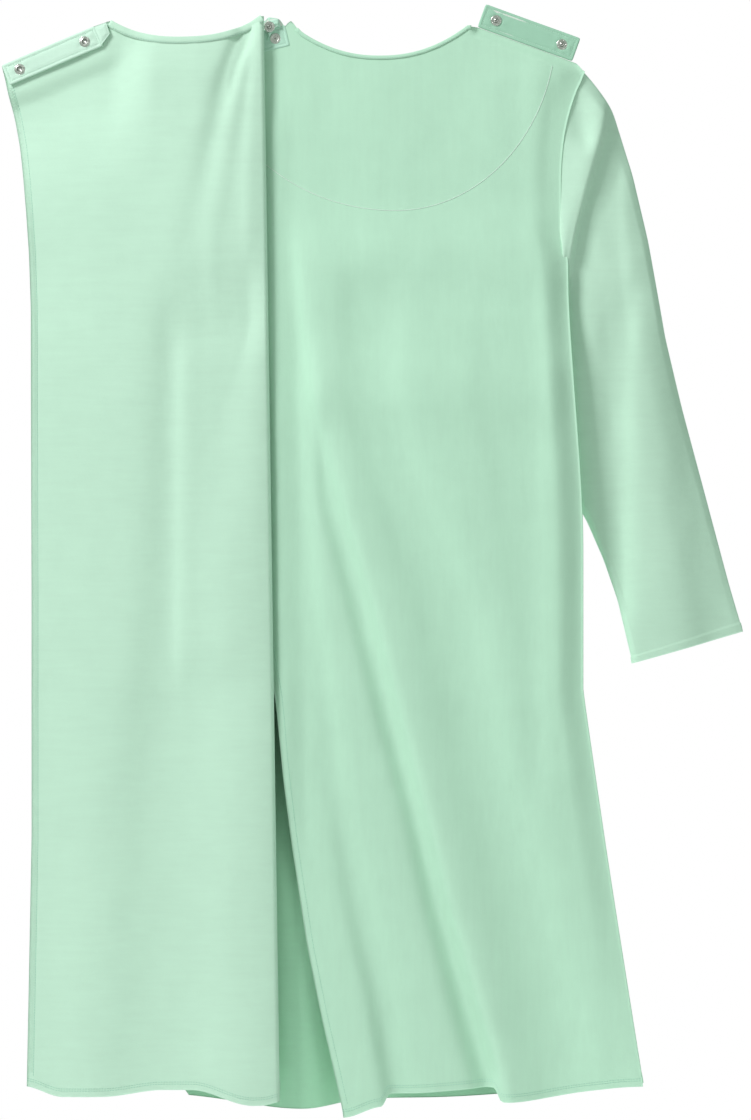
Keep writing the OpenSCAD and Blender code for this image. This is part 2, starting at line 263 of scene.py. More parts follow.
def flap_height(x, z):
    """How far the folded flap stands out: its folds, a hollow under the strip and the roll at the crease."""
    inward = crease_x(z) - x
    h = FLAP_FOLD_GAIN * fold_sum(x, z, FLAP_FOLDS) + 0.5 + 1.5 * smooth((inward - 25) / 50)
    under = strip_bottom_z(x) - z - HOLLOW_BELOW_STRIP
    hollow = HOLLOW_DEPTH * np.exp(-((under / np.where(under < 0, 32, 70)) ** 2))
    h = h - hollow * smooth((-232 - x) / 50) + 0.9 * ripple(x, z, 90, 1) + 0.3 * ripple(x, z, 28, 2)
    depth = mix(4.6, 7.2, smooth(-(z + 220) / 160))
    roll = depth * (1 - np.exp(-inward / ROLL_WIDTH)) * smooth(-(z - 10) / 60)
    settle = mix(22, 64, smooth(-(z + 300) / 150))
    return (h * smooth(inward / settle) + roll) * below_strip(x, z)


INNER_FOLDS = [
    fold_line(-260, -1140, 90, (-160, -96), (-282, -84), (-389, -70), (-493, -42), (-597, -12), (-701, 15),
              (-805, 41), (-909, 67), (-1013, 97), (-1086, 119), (-1140, 127), rise=(4.6, 16),
              width=(6.5, 8)),
    fold_line(-300, -1140, 80, (-389, -37), (-493, -4), (-597, 36), (-701, 57), (-805, 84), (-909, 110),
              (-1013, 136), (-1140, 162), rise=(-3.2, -12), width=(13, 30)),
    fold_line(-330, -1140, 90, (-389, 16), (-493, 52), (-597, 97), (-701, 115), (-805, 145), (-909, 176),
              (-1013, 206), (-1140, 228), rise=(4.2, 10), width=(15, 22)),
    fold_line(-330, -760, 90, (-389, 102), (-493, 120), (-597, 140), (-760, 156), rise=-1.6, width=13),
    fold_line(-300, -760, 90, (-290, 168), (-760, 170), rise=3.4, width=11),
    fold_line(-440, -1140, 90, (-493, -62), (-597, -33), (-701, -6), (-805, 24), (-909, 48), (-1013, 76),
              (-1140, 112), rise=(-3.4, -11.5), width=(7, 11)),
    fold_line(-400, -1140, 90, (-389, -80), (-493, -73), (-597, -64), (-701, -47), (-805, -34), (-909, -8),
              (-1013, 18), (-1140, 34), rise=(4.6, 3.2), width=(8, 13)),
    fold_line(-760, -1140, 70, (-780, -58), (-909, -35), (-1013, -10), (-1140, 12), rise=(-1.5, -11),
              width=(9, 8)),
    fold_line(-60, -300, 60, (-40, 118), (-120, 108), (-300, 96), rise=(1.2, 0.4), width=14),
    fold_line(-30, -220, 60, (-20, 150), (-120, 152), (-220, 150), rise=(1.4, 0.6), width=8),
    fold_line(-40, -220, 60, (-30, 176), (-120, 170), (-220, 168), rise=(-1.6, -0.8), width=7),
]


def inner_height(x, z):
    """How far the inner back panel stands out: its folds and a lip beside the flap's crease, calmed
    at the side seam, at the neck and under the flap."""
    past = x - crease_x(z)
    h = INNER_FOLD_GAIN * fold_sum(x, z, INNER_FOLDS) + 1.1 * ripple(x, z, 80, 3) + 0.3 * ripple(x, z, 25, 4)
    lip = mix(3.0, 6.0, smooth(-(z + 300) / 120)) * smooth((past + 1) / 8) * (1 - smooth((past - 5) / 28))
    h = h + lip * smooth(-(z + 60) / 60) * smooth((z + 920) / 120)
    calm_edge = smooth((half_x(z) - x) / 30)
    near_crease = smooth((past + 4) / 34) * smooth((-z - 640) / 60)
    quiet = mix(0.7, 1.0, np.maximum(near_crease, smooth((x + 100) / 40)))
    return h * calm_edge * quiet * smooth(-(z + 4) / 60)


def side_forward(x, z):
    """The right side seam is drawn towards the camera between the armhole and the hip."""
    return -SIDE_FORWARD * smooth((x - 60) / 110) * smooth(-(z + 270) / 90) * smooth((z + 900) / 160)


def inner_y(x, z):
    edge_y = seam_y(z) - seam_gap(z) + side_forward(x, z)
    base = mix(INNER_Y, edge_y, smooth((x - half_x(z) + 32) / 32))
    near_top = smooth((z - back_neck_z(x) + 14) / 14)
    to_tab = (SHOULDER_SEAM_Y - base) * near_top * smooth((x - 94) / 8) * smooth((212 - x) / 8)
    return base - inner_height(x, z) + to_tab


def front_y(x, z):
    """The front panel: a full chest, and one deep pleat that hangs behind the gap in the back."""
    inside = 1 - np.minimum(1, np.abs(x) / half_x(z)) ** 2.4
    bulge = (CHEST_DEPTH - SEAM_Y) * smooth((-z - 10) / 240) * inside
    top = mix(7.5, seam_y(z) + seam_gap(z), smooth(-z / 200))
    pleat = 42 * np.exp(-(((x + 86) / 66) ** 2)) * smooth((-z - 600) / 320)
    drape = -pleat + 3.4 * np.cos(x / 31.0 + 0.8) * smooth((-z - 250) / 700) + 2.2 * ripple(x, z, 100, 5)
    drape = drape * smooth((half_x(z) - np.abs(x)) / 60) * smooth(-(z + 60) / 120)
    return top + bulge + drape + side_forward(x, z)


def outer_side_y(x, z):
    """The part of the outer back panel that is still in place, between the side seam and the fold."""
    flat_to = 168
    out = smooth((-x - flat_to) / (half_x(z) - flat_to)) * smooth((-z - 60) / 120)
    wave = 1.6 * ripple(x, z, 70, 6) * smooth((crease_x(z) - x) / 20)
    return mix(OUTER_Y, seam_y(z) - seam_gap(z), out) + wave * (1 - out)


# ---------------------------------------------------------------- mesh building
def make_mesh(name, verts, faces, materials, face_slots=None):
    mesh = bpy.data.meshes.new(name)
    points = [tuple(v) for v in np.asarray(verts) * MM]
    mesh.from_pydata(points, [], [tuple(int(i) for i in f) for f in faces])
    for m in materials:
        mesh.materials.append(m)
    mesh.polygons.foreach_set("use_smooth", [True] * len(mesh.polygons))
    if face_slots is not None:
        mesh.polygons.foreach_set("material_index", face_slots)
    mesh.update()
    obj = bpy.data.objects.new(name, mesh)
    bpy.context.scene.collection.objects.link(obj)
    return obj


def grid_normals(p, closed):
    """Unit normals of a grid of points (rows, columns, 3)."""
    if closed:
        du = np.roll(p, -1, 1) - np.roll(p, 1, 1)
    else:
        du = np.gradient(p, axis=1)
    dv = np.gradient(p, axis=0)
    n = np.cross(du, dv)
    length = np.linalg.norm(n, axis=2, keepdims=True)
    return n / np.maximum(length, 1e-9)


def cloth(name, p, outside, inside, thick=CLOTH_T, closed=False, extra_in=0.0):
    """A closed sheet over a grid of middle points: its outside faces against the grid's normals.
    extra_in adds thickness on the inside, as a number or a grid, for hems."""
    rows, cols = p.shape[:2]
    n = grid_normals(p, closed)
    extra = np.broadcast_to(np.asarray(extra_in, float), (rows, cols))[..., None]
    outer = p - n * thick / 2
    inner = p + n * (thick / 2 + extra)
    verts = np.concatenate([outer.reshape(-1, 3), inner.reshape(-1, 3)])
    base = rows * cols

    def rim(k, k2):
        return np.stack([k, k2, k2 + base, k + base], -1)

    i = np.arange(cols if closed else cols - 1)
    i2 = (i + 1) % cols
    row = np.arange(rows - 1)[:, None] * cols
    skin = np.stack([row + i, row + cols + i, row + cols + i2, row + i2], -1).reshape(-1, 4)
    last = (rows - 1) * cols
    rims = [rim(i2, i), rim(i + last, i2 + last)]
    if not closed:
        left = row[:, 0]
        right = left + cols - 1
        rims += [rim(left, left + cols), rim(right + cols, right)]
    faces = np.concatenate([skin, skin[:, ::-1] + base, *rims])
    slots = np.zeros(len(faces), int)
    slots[len(skin) : 2 * len(skin)] = 1
    return make_mesh(name, verts, faces, [outside, inside], slots)


def steps(n, fine_start=None, fine_end=None):
    """Even steps from 0 to 1, with closer ones before fine_start and after fine_end."""
    parts = [np.linspace(0, 1, n + 1)]
    if fine_start:
        parts.append(np.linspace(0, fine_start, 7))
    if fine_end:
        parts.append(np.linspace(1 - fine_end, 1, 9))
    return np.unique(np.round(np.concatenate(parts), 6))


def panel_grid(left, right, top, bottom, depth, u, v):
    """Points of a panel between two side edges, from its top edge to its hem."""
    uu, vv = np.meshgrid(u, v)
    z = mix(-20.0, -HEM_DROP, vv)
    for _ in range(5):
        x = mix(left(z), right(z), uu)
        z = mix(top(x), bottom(x), vv)
    return np.stack([x, depth(x, z), z], -1)


def hem_extra(p):
    """Extra thickness over the turned-up hem at the bottom rows of a panel."""
    length = p[-1:, :, 2] - p[:, :, 2]
    return (HEM_T - CLOTH_T) * smooth((HEM_H + 0.6 + length) / 1.2)


def turns(n, start=0.0):
    return [start + 2 * math.pi * k / n for k in range(n)]


def tube_faces(start, rings, sides):
    """Faces of a tube with closed ends, over rings of points that begin at number start."""
    faces = []
    for k in range(rings - 1):
        a = start + k * sides
        for m in range(sides):
            m2 = (m + 1) % sides
            faces.append((a + m, a + m2, a + sides + m2, a + sides + m))
    end = start + (rings - 1) * sides
    faces.append(tuple(range(start, start + sides))[::-1])
    faces.append(tuple(range(end, end + sides)))
    return faces


def threads(name, lines, radius, material):
    """Sewing thread: one mesh of five-sided tubes along the given point lists."""
    sides = 5
    verts, faces = [], []
    for line in lines:
        pts = np.asarray(line, float)
        tangent = np.gradient(pts, axis=0)
        tangent /= np.maximum(np.linalg.norm(tangent, axis=1, keepdims=True), 1e-9)
        up = np.where(np.abs(tangent[:, 1:2]) > 0.9, [[1.0, 0, 0]], [[0, 1.0, 0]])
        s = np.cross(tangent, up)
        s /= np.linalg.norm(s, axis=1, keepdims=True)
        t = np.cross(tangent, s)
        start = len(verts)
        for k in range(len(pts)):
            taper = 0.55 if k in (0, len(pts) - 1) else 1.0
            for angle in turns(sides):
                verts.append(pts[k] + radius * taper * (math.cos(angle) * s[k] + math.sin(angle) * t[k]))
        faces += tube_faces(start, len(pts), sides)
    return make_mesh(name, verts, faces, [material])


def resample(line, step):
    pts = np.asarray(line, float)
    seg = np.linalg.norm(np.diff(pts, axis=0), axis=1)
    at = np.concatenate([[0], np.cumsum(seg)])
    want = np.arange(0, at[-1], step)
    return np.stack([np.interp(want, at, pts[:, k]) for k in range(3)], 1)


def running_stitches(line, pitch=3.0, length=2.3, sink=0.12):
    """Single stitches along a line on the surface, each bowed a little out of the cloth."""
    fine = resample(line, pitch / 6)
    used = max(2, int(round(length / pitch * 6)))
    out = []
    for k in range(0, len(fine) - used, 6):
        piece = fine[k : k + used + 1].copy()
        bow = np.sin(np.linspace(0, math.pi, len(piece))) * 0.22
        piece[:, 1] -= bow - sink
        out.append(piece)
    return out


def ladder(line, across, pitch=3.2):
    """Coverstitch looper threads: a zigzag between a line and the same line moved by across."""
    a = resample(line, pitch)
    out = []
    for k in range(len(a) - 1):
        b = a[k] + across
        c = a[k + 1]
        out.append([a[k], mix(a[k], b, 0.5) + [0, -0.15, 0], b])
        out.append([b, mix(b, c, 0.5) + [0, -0.15, 0], c])
    return out


# ---------------------------------------------------------------- materials
def linear(r, g, b):
    """A display colour (0 to 255, none of it near black) as scene-linear RGBA."""
    return [((c / 255 + 0.055) / 1.055) ** 2.4 for c in (r, g, b)] + [1.0]


class Shader:
    """A few helpers around one material's node tree."""

    def __init__(self, name):
        self.material = bpy.data.materials.new(name)
        self.material.use_nodes = True
        self.tree = self.material.node_tree
        self.bsdf = next(n for n in self.tree.nodes if n.type == "BSDF_PRINCIPLED")
        self.place = self.node("ShaderNodeTexCoord").outputs["Object"]

    def node(self, kind, **settings):
        made = self.tree.nodes.new(kind)
        for key, value in settings.items():
            setattr(made, key, value)
        return made

    def link(self, a, b):
        self.tree.links.new(a, b)

    def enter(self, socket, value):
        """Links a node's output to a socket, or enters a plain value in it."""
        if isinstance(value, bpy.types.NodeSocket):
            self.link(value, socket)
        else:
            socket.default_value = value

    def surface(self, **values):
        """Fills the surface shader's sockets; an underscore stands for a space in a socket's name."""
        for name, value in values.items():
            self.enter(self.bsdf.inputs[name.replace("_", " ")], value)

    def scaled(self, x, y, z):
        mapping = self.node("ShaderNodeMapping")
        mapping.inputs["Scale"].default_value = (x, y, z)
        self.link(self.place, mapping.inputs["Vector"])
        return mapping.outputs["Vector"]

    def noise(self, scale, detail=3.0, vector=None, roughness=0.55):
        made = self.node("ShaderNodeTexNoise")
        made.inputs["Scale"].default_value = scale
        made.inputs["Detail"].default_value = detail
        made.inputs["Roughness"].default_value = roughness
        self.link(vector or self.place, made.inputs["Vector"])
        return made.outputs["Fac"]

    def wave(self, direction, scale, distortion):
        made = self.node("ShaderNodeTexWave", wave_type="BANDS", bands_direction=direction)
        made.inputs["Scale"].default_value = scale
        made.inputs["Distortion"].default_value = distortion
        made.inputs["Detail"].default_value = 2.0
        made.inputs["Detail Scale"].default_value = 2.5
        self.link(self.place, made.inputs["Vector"])
        return made.outputs["Fac"]

    def math(self, operation, a, b):
        made = self.node("ShaderNodeMath", operation=operation)
        self.enter(made.inputs[0], a)
        self.enter(made.inputs[1], b)
        return made.outputs[0]

    def weighted(self, *terms):
        """The sum of outputs, each times its weight."""
        total = None
        for value, weight in terms:
            part = self.math("MULTIPLY", value, weight)
            total = part if total is None else self.math("ADD", total, part)
        return total

    def ramp(self, fac, *stops):
        made = self.node("ShaderNodeValToRGB")
        elements = made.color_ramp.elements
        while len(elements) < len(stops):
            elements.new(0.5)
        for element, (at, colour) in zip(elements, stops):
            element.position = at
            element.color = colour
        self.link(fac, made.inputs["Fac"])
        return made.outputs["Color"]

    def bump(self, height, strength, distance, after=None):
        made = self.node("ShaderNodeBump")
        made.inputs["Strength"].default_value = strength
        made.inputs["Distance"].default_value = distance
        self.link(height, made.inputs["Height"])
        if after is not None:
            self.link(after, made.inputs["Normal"])
        return made.outputs["Normal"]


def shade(colour, gain):
    return [min(1.0, c * gain) for c in colour[:3]] + [1.0]


def grey(value):
    return [value] * 3 + [1.0]


def knit(name, colour, wale_direction, wale_scale, rib=0.5, mottle=0.05):
    """Fine jersey: wales or purl rows, crossed by courses, with uneven yarn and slight mottling."""
    s = Shader(name)
    upright = wale_direction == "X"
    wales = s.wave(wale_direction, wale_scale, 0.5)
    courses = s.wave("Z" if upright else "X", wale_scale * 0.8, 0.9)
    weave = s.weighted((wales, 0.55), (courses, 0.45))
    grain = s.weighted((weave, 0.6), (s.noise(900, 4), 0.4))
    cloud = s.weighted((s.noise(9, 4), 0.5), (s.noise(38, 5), 0.5))
    slub = s.noise(60, 3, s.scaled(3.2, 3.2, 0.35) if upright else s.scaled(0.35, 3.2, 3.2))
    tone = s.weighted((cloud, 0.45), (slub, 0.25), (grain, 0.3))
    wrinkle = s.bump(s.noise(24, 4), 0.16, 0.004)
    s.surface(
        Base_Color=s.ramp(tone, (0.32, shade(colour, 1 - mottle)), (0.68, shade(colour, 1 + mottle))),
        Roughness=s.ramp(tone, (0.3, grey(0.78)), (0.7, grey(0.92))),
        Normal=s.bump(grain, rib, 0.0005, wrinkle),
        Sheen_Weight=0.1,
        Sheen_Roughness=0.45,
        Sheen_Tint=(0.8, 1.0, 0.88, 1.0),
        Specular_IOR_Level=0.22,
    )
    return s.material


def thread_material(name, colour):
    s = Shader(name)
    twist = s.wave("X", 420, 2.5)
    s.surface(
        Base_Color=s.ramp(twist, (0.2, shade(colour, 0.88)), (0.8, shade(colour, 1.06))),
        Normal=s.bump(twist, 0.5, 0.0002),
        Roughness=0.6,
        Sheen_Weight=0.3,
        Specular_IOR_Level=0.35,
    )
    return s.material


def felt_material(name, colour):
    s = Shader(name)
    fibre = s.noise(700, 6, roughness=0.7)
    s.surface(
        Base_Color=s.ramp(fibre, (0.35, shade(colour, 0.86)), (0.65, colour)),
        Normal=s.bump(fibre, 0.6, 0.0004),
        Roughness=0.95,
    )
    return s.material


def metal_material(name, colour, roughness):
    s = Shader(name)
    haze = s.noise(260, 5)
    s.surface(
        Base_Color=s.ramp(haze, (0.35, shade(colour, 0.9)), (0.65, colour)),
        Roughness=s.ramp(haze, (0.3, grey(roughness - 0.07)), (0.7, grey(roughness + 0.09))),
        Normal=s.bump(s.noise(1400, 3), 0.12, 0.0002),
        Metallic=1.0,
    )
    return s.material


FACE = knit("jersey_face", linear(193, 231, 208), "X", 430, rib=0.35)
INSIDE = knit("jersey_inside", linear(204, 237, 217), "Z", 400, rib=0.45)
# The front panel's inside, seen only through the shaded gap in the back, gets a greener, more saturated copy
# of the inside knit: painted shade.
FRONT_INSIDE_PAINTED_SHADE = knit("jersey_front_inside_painted_shade", linear(184, 238, 204), "Z", 400, rib=0.45)
# The trim knit comes in three copies that differ only in brightness, each set to how light or shaded its
# pieces look: the trim's own tone plus painted light and shade.
TRIM = knit("trim_knit", linear(170, 213, 190), "X", 520, rib=0.5, mottle=0.04)
TRIM_SOFT_PAINTED_LIGHT = knit("trim_knit_soft_painted_light", linear(192, 230, 212), "X", 520, rib=0.5, mottle=0.04)
TRIM_PALE_PAINTED_LIGHT = knit("trim_knit_pale_painted_light", linear(214, 243, 227), "X", 520, rib=0.5, mottle=0.04)
THREAD = thread_material("sewing_thread", linear(212, 241, 225))
THREAD_HEM = thread_material("sewing_thread_hem", linear(172, 219, 200))
# Near-white thread for the facing's stitch line: a painted highlight along the ridge it sews down.
THREAD_PAINTED_HIGHLIGHT = thread_material("sewing_thread_painted_highlight", linear(242, 253, 247))
FELT = felt_material("felt_interfacing", linear(236, 240, 235))
NICKEL = metal_material("nickel", [0.84, 0.83, 0.8, 1.0], 0.26)
# Dark metal for the snaps' hollows and centres and for the socket springs: painted shade.
NICKEL_PAINTED_SHADE = metal_material("nickel_painted_shade", [0.2, 0.2, 0.19, 1.0], 0.42)

# Thread radii
HEM_THREAD_R = 0.26
EDGE_THREAD_R = 0.16
TAB_THREAD_R = 0.22
FACING_THREAD_R = 0.3


# ---------------------------------------------------------------- panels
def flap_neck_z(x):
    t = (x - FLAP_NECK_X) / FLAP_NECK_W
    return 4 + 4.5 * t - 21.7 * (1 - np.abs(2 * t - 1) ** 2.4)


def flap_top_z(x):
    """The flap's top edge: its neckline, then the straight seam of the socket strip."""
    along_strip = 2.5 + (x - FLAP_NECK_X) * STRIP_SLOPE
    neck = flap_neck_z(np.minimum(x, FLAP_NECK_X + FLAP_NECK_W))
    return np.where(x > FLAP_NECK_X, neck, along_strip)


FLAP_EDGE = down(
    (-43, -392.6), (-54, -389), (-70, -386), (-97, -379), (-128, -373), (-162, -369), (-196, -366),
    (-239, -363), (-297, -361), (-600, -360), (-841, -360), (-1102, -365), blur=16,
)


def flap_hem_z(x):
    left_sag = 11 * smooth((x + 368) / 40) - 6 * smooth((x + 285) / 60)
    right_sag = 16 * smooth((x + 195) / 65) - 3 * smooth((x + 122) / 18)
    return -1099 - left_sag - right_sag


def curl_to_crease(p, side):
    """Bends the last columns of a panel through a quarter circle onto the fold axis. side is +1 for
    the panel in front of the axis and -1 for the one behind it."""
    d = crease_x(p[..., 2]) - p[..., 0]
    t = np.clip(d / CREASE_R, 0, 1)
    p[..., 1] += side * CREASE_R * (1 - np.sqrt(np.clip(1 - (1 - t) ** 2, 0, 1)))
    return p


# Column places from a panel's left edge (0) to the crease (1), close together where it curls
CREASE_SAMPLES = 1 - np.array([0, 0.0012, 0.003, 0.0055, 0.0085, 0.0120, 0.0155])


def flap_y(x, z):
    return FLAP_Y - flap_height(x, z)


def make_flap():
    u = np.unique(np.concatenate([np.linspace(0, 0.985, 96), CREASE_SAMPLES]))
    v = steps(330, fine_end=0.012)
    return curl_to_crease(panel_grid(FLAP_EDGE, crease_x, flap_top_z, flap_hem_z, flap_y, u, v), +1)


def left_side_x(z):
    return -half_x(z)


def side_hem_z(x):
    return -HEM_DROP - 5 * smooth((x + HEM_HALF) / 60)


def make_outer_side():
    u = np.unique(np.concatenate([np.linspace(0, 0.97, 44), 1 - (1 - CREASE_SAMPLES) * 2.2]))
    v = steps(200, fine_end=0.012)
    p = panel_grid(left_side_x, crease_x, lambda x: shoulder_z(x) - 0.5, side_hem_z, outer_side_y, u, v)
    return curl_to_crease(p, -1)


def inner_hem_z(x):
    rise = 12 * smooth((x - 1) / 9) + 5 * smooth((x - 20) / 90) - 14 * smooth((x - 119) / 9)
    end = 18 * smooth((x - 130) / 150)
    corner = 11 * smooth((x + 38) / 40)
    return -1135.5 + corner + rise + end


# The inner back panel's free edge, which runs out from under the flap below mid height
INNER_EDGE = down(
    (40, -166), (-420, -160), (-560, -132), (-705, -107.7), (-780, -101), (-854, -91.5), (-954, -76.4),
    (-1029, -61.4), (-1093, -46.8), (-1135, -37.4), blur=40,
)


def make_inner_back():
    u = steps(130)
    v = steps(330, fine_start=0.01, fine_end=0.012)
    return panel_grid(INNER_EDGE, lambda z: half_x(z) - 0.4, back_neck_z, inner_hem_z, inner_y, u, v)


# The facing's curved edge: two quarter ellipses that meet at FACING_MIDDLE
FACING_DROP = 192
FACING_MIDDLE = 16
FACING_LEFT, FACING_RIGHT = 204.0, 167.0


def facing_z(x):
    half = np.where(x > FACING_MIDDLE, FACING_RIGHT, FACING_LEFT)
    return -FACING_DROP * np.sqrt(np.clip(1 - ((x - FACING_MIDDLE) / half) ** 2, 0.0, 1))


def facing_y(x, z):
    return inner_y(x, z) + CLOTH_T / 2 + 0.9


def facing_top_z(x):
    return neck_z(x, BACK_NECK_DROP) - 2.5


def facing_low_z(x):
    return np.minimum(facing_top_z(x) - 4, facing_z(x))


def make_facing():
    return panel_grid(
        lambda z: np.full_like(z, -150.0), lambda z: np.full_like(z, 177.0),
        facing_top_z, facing_low_z, facing_y, steps(90), steps(60),
    )


def front_hem_z(x):
    corner = 6 * smooth((x + 205) / 4) * smooth((-20 - x) / 60)
    return -HEM_DROP - 25 * (1 - (np.abs(x) / HEM_HALF) ** 2) - corner


def front_top_z(x):
    under_tab = 10 * smooth((-x - NECK_HALF + 4) / 8) * smooth((x + 200) / 6)
    return neck_z(x, FRONT_NECK_DROP) - 1.5 - under_tab


def make_front():
    u, v = steps(120), steps(220, fine_start=0.01, fine_end=0.012)
    return panel_grid(left_side_x, half_x, front_top_z, front_hem_z, front_y, u, v)


# ---------------------------------------------------------------- sleeves
# Outer and inner fold, depth and middle depth, each as (part of the way down, mm)
SLEEVE_OUTER = [
    (0, 214), (0.065, 240), (0.18, 262), (0.3, 279), (0.47, 297.5), (0.6, 317), (0.74, 339.5), (0.92, 368),
    (1, 382),
]
SLEEVE_INNER = [
    (0, 194), (0.06, 190), (0.15, 189), (0.25, 190), (0.4, 197), (0.55, 203), (0.61, 210), (0.638, 217),
    (0.738, 235), (0.84, 249.5), (1, 265),
]
SLEEVE_DEPTH = [(0, 7), (0.12, 20), (0.3, 27), (0.55, 24), (1, 13)]
SLEEVE_Y = [(0, 6), (0.06, 13), (0.15, 19), (0.5, 24), (1, 19)]
CUFF_DROP = 631.0
CUFF_SLOPE = 32.5
LEFT_CUFF_IN = 31.0


def table(points, s, blur):
    """A smooth function of s, the part of the way down a sleeve, through (s, value) points."""
    fine = np.linspace(-0.3, 1.3, 641)
    value = np.interp(fine, [q[0] for q in points], [q[1] for q in points])
    value = blurred(value, max(3, int(blur / 0.0025) | 1))
    return np.interp(s, fine, value)


def sleeve_points(inset, seed, plain, angles, s):
    """Rings of a hanging sleeve, right side at the body: angle 0 is its outer fold, pi its inner one."""
    a, s = np.meshgrid(angles, s)
    sway = inset * smooth((s - 0.55) / 0.45)
    outer_z = mix(-TIP_DROP, -CUFF_DROP, s)
    inner_z = mix(-UNDERARM_DROP - 2, -CUFF_DROP - CUFF_SLOPE, s)
    outer = np.stack([table(SLEEVE_OUTER, s, 0.05) - sway, outer_z], -1)
    inner = np.stack([table(SLEEVE_INNER, s, 0.05) - sway, inner_z], -1)
    middle, half = (outer + inner) / 2, (outer - inner) / 2
    bow = -15 * np.abs(np.sin(a)) ** 1.5 * (1 - s) ** 8
    x = middle[..., 0] + half[..., 0] * np.cos(a) + bow + 2.5 * (1 - s) * (1 + np.cos(a)) / 2
    z = middle[..., 1] + half[..., 1] * np.cos(a)
    fold, outward = sleeve_folds(x, z, seed, plain)
    body = table(SLEEVE_Y, s, 0.06) + outward - table(SLEEVE_DEPTH, s, 0.06) * section(a)
    y = body - fold * np.clip(np.sin(a) * 2.2, -1, 1)
    seam_z = mix(-TIP_DROP - 0.5, -UNDERARM_DROP - 1, (1 - np.cos(a)) / 2)
    seam_x = armhole_x(seam_z) - 2.2
    seam = np.stack([seam_x, seam_y(seam_z) - 0.52 * np.clip(np.sin(a) * 8, -1, 1), seam_z], -1)
    return mix(seam, np.stack([x, y, z], -1), smooth(s / 0.05)[..., None])


def section_front():
    """Fullness of a sleeve's front from its inner (0) to its outer (1) fold, rounded off at both."""
    q = np.linspace(0, 1, 201)
    full = np.interp(q, (0, 0.1, 0.3, 0.6, 0.8, 0.92, 1), (0.26, 0.36, 0.4, 0.46, 0.38, 0.22, 0.05))
    full = np.convolve(np.pad(full, 12, mode="edge"), np.ones(25) / 25, "valid")
    return q, full * np.minimum(1, np.sqrt(q / 0.04)) * np.minimum(1, np.sqrt((1 - q) / 0.05))


SECTION_Q, SECTION_FULL = section_front()


def section(a):
    """Shape across a sleeve: a low arch towards the camera and a half ellipse away from it."""
    q = (1 + np.cos(a)) / 2
    arch = np.interp(q, SECTION_Q, SECTION_FULL)
    return np.where(np.sin(a) > 0, arch, -np.sqrt(np.clip(1 - (2 * q - 1) ** 2, 0, 1)))


CREST = down(
    (-60, 241), (-82, 237), (-106, 234), (-131, 226), (-156, 219), (-181, 212), (-206, 205), (-240, 198),
)
CROWN = down((-260, 269), (-400, 260))
OUTER_TURN = down((-250, 293), (-640, 333))
SMALL_FOLD = down((-200, 252), (-330, 262))


def sleeve_folds(x, z, seed, plain):
    """Folds of a sleeve towards the camera, and how far its outer part turns away from it. The cap
    stands out up to its crest; below it a valley and a crown run down to the cuff."""
    soft = 1.6 * ripple(x, z, 60, seed) + 0.5 * ripple(x, z, 22, seed + 1)
    if plain:
        return soft, 0.0
    past = x - CREST(z)
    cap = (5.0 + 6.0 * smooth((past + 30) / 24)) * (1 - smooth((past + 1.5) / 6))
    cap = cap * smooth((z + 268) / 36) * smooth((-z - 56) / 34)
    below = smooth((-z - 250) / 60) * smooth((z + 650) / 60)
    valley = -2.3 * (1 + np.tanh((x - 232) / 10)) * below
    crown = 3.0 * (1 + np.tanh((x - CROWN(z)) / 8)) * below
    dent = -6.0 * np.exp(-(((x - 213) / 8.5) ** 2)) * smooth((-z - 68) / 20) * smooth((z + 138) / 25)
    outward = 10.0 * (1 + np.tanh((x - OUTER_TURN(z)) / 23)) * smooth((-z - 280) / 120)
    small = 1.4 * (1 + np.tanh((x - SMALL_FOLD(z)) / 6)) * smooth((z + 360) / 80)
    return soft + cap + dent + valley + crown + small * smooth((-z - 110) / 60), outward


def make_sleeve(name, inset, seed, mirror):
    s = steps(150, fine_end=0.02)
    p = sleeve_points(inset, seed, mirror, turns(120), s)
    if mirror:
        p[..., 0] *= -1
        p = p[:, ::-1]
    extra = (HEM_T - CLOTH_T) * smooth((s - 0.983) / 0.002)[:, None]
    return p, cloth(name, p, FACE, INSIDE, closed=True, extra_in=extra)


# ---------------------------------------------------------------- build the cloth
flap_p = make_flap()
flap = cloth("outer_back_flap_cloth", flap_p, INSIDE, FACE, extra_in=hem_extra(flap_p))
side_p = make_outer_side()
outer_side = cloth("outer_back_side_cloth", side_p, FACE, INSIDE, extra_in=hem_extra(side_p))
inner_p = make_inner_back()
inner_back = cloth("inner_back_cloth", inner_p, FACE, INSIDE, extra_in=hem_extra(inner_p))
facing_p = make_facing()
facing = cloth("inner_facing_cloth", facing_p, FACE, INSIDE, thick=0.8)
front_p = make_front()
# The front panel's inside takes the greener knit: painted shade in the gap.
front = cloth("front_panel_cloth", front_p, FRONT_INSIDE_PAINTED_SHADE, FACE, extra_in=hem_extra(front_p))
right_p, right_sleeve = make_sleeve("right_sleeve_cloth", 0.0, 11, False)
left_p, left_sleeve = make_sleeve("left_sleeve_cloth", LEFT_CUFF_IN, 31, True)

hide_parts("outer_back_flap")
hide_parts("outer_back_side")
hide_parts("inner_back_side", "inner_back_panel")
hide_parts("inner_facing_side", "inner_facing_neck")
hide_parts("front_panel")
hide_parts("right_sleeve")
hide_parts("left_sleeve")

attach(flap, "outer_flap")
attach(outer_side, "gown")
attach(front, "gown")
for piece in (inner_back, facing):
    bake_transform(piece)
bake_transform(right_sleeve)
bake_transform(left_sleeve)


# ---------------------------------------------------------------- tabs and strips
TAB_L = 105.0
TAB_T = 2.2
TAB_H = 25.6
STRIP_H = 22.6
SNAP_INSET = 16.0
SNAP_PITCH = 73.0
SNAP_R = 5.6
SNAP_X = (SNAP_INSET, SNAP_INSET + SNAP_PITCH)


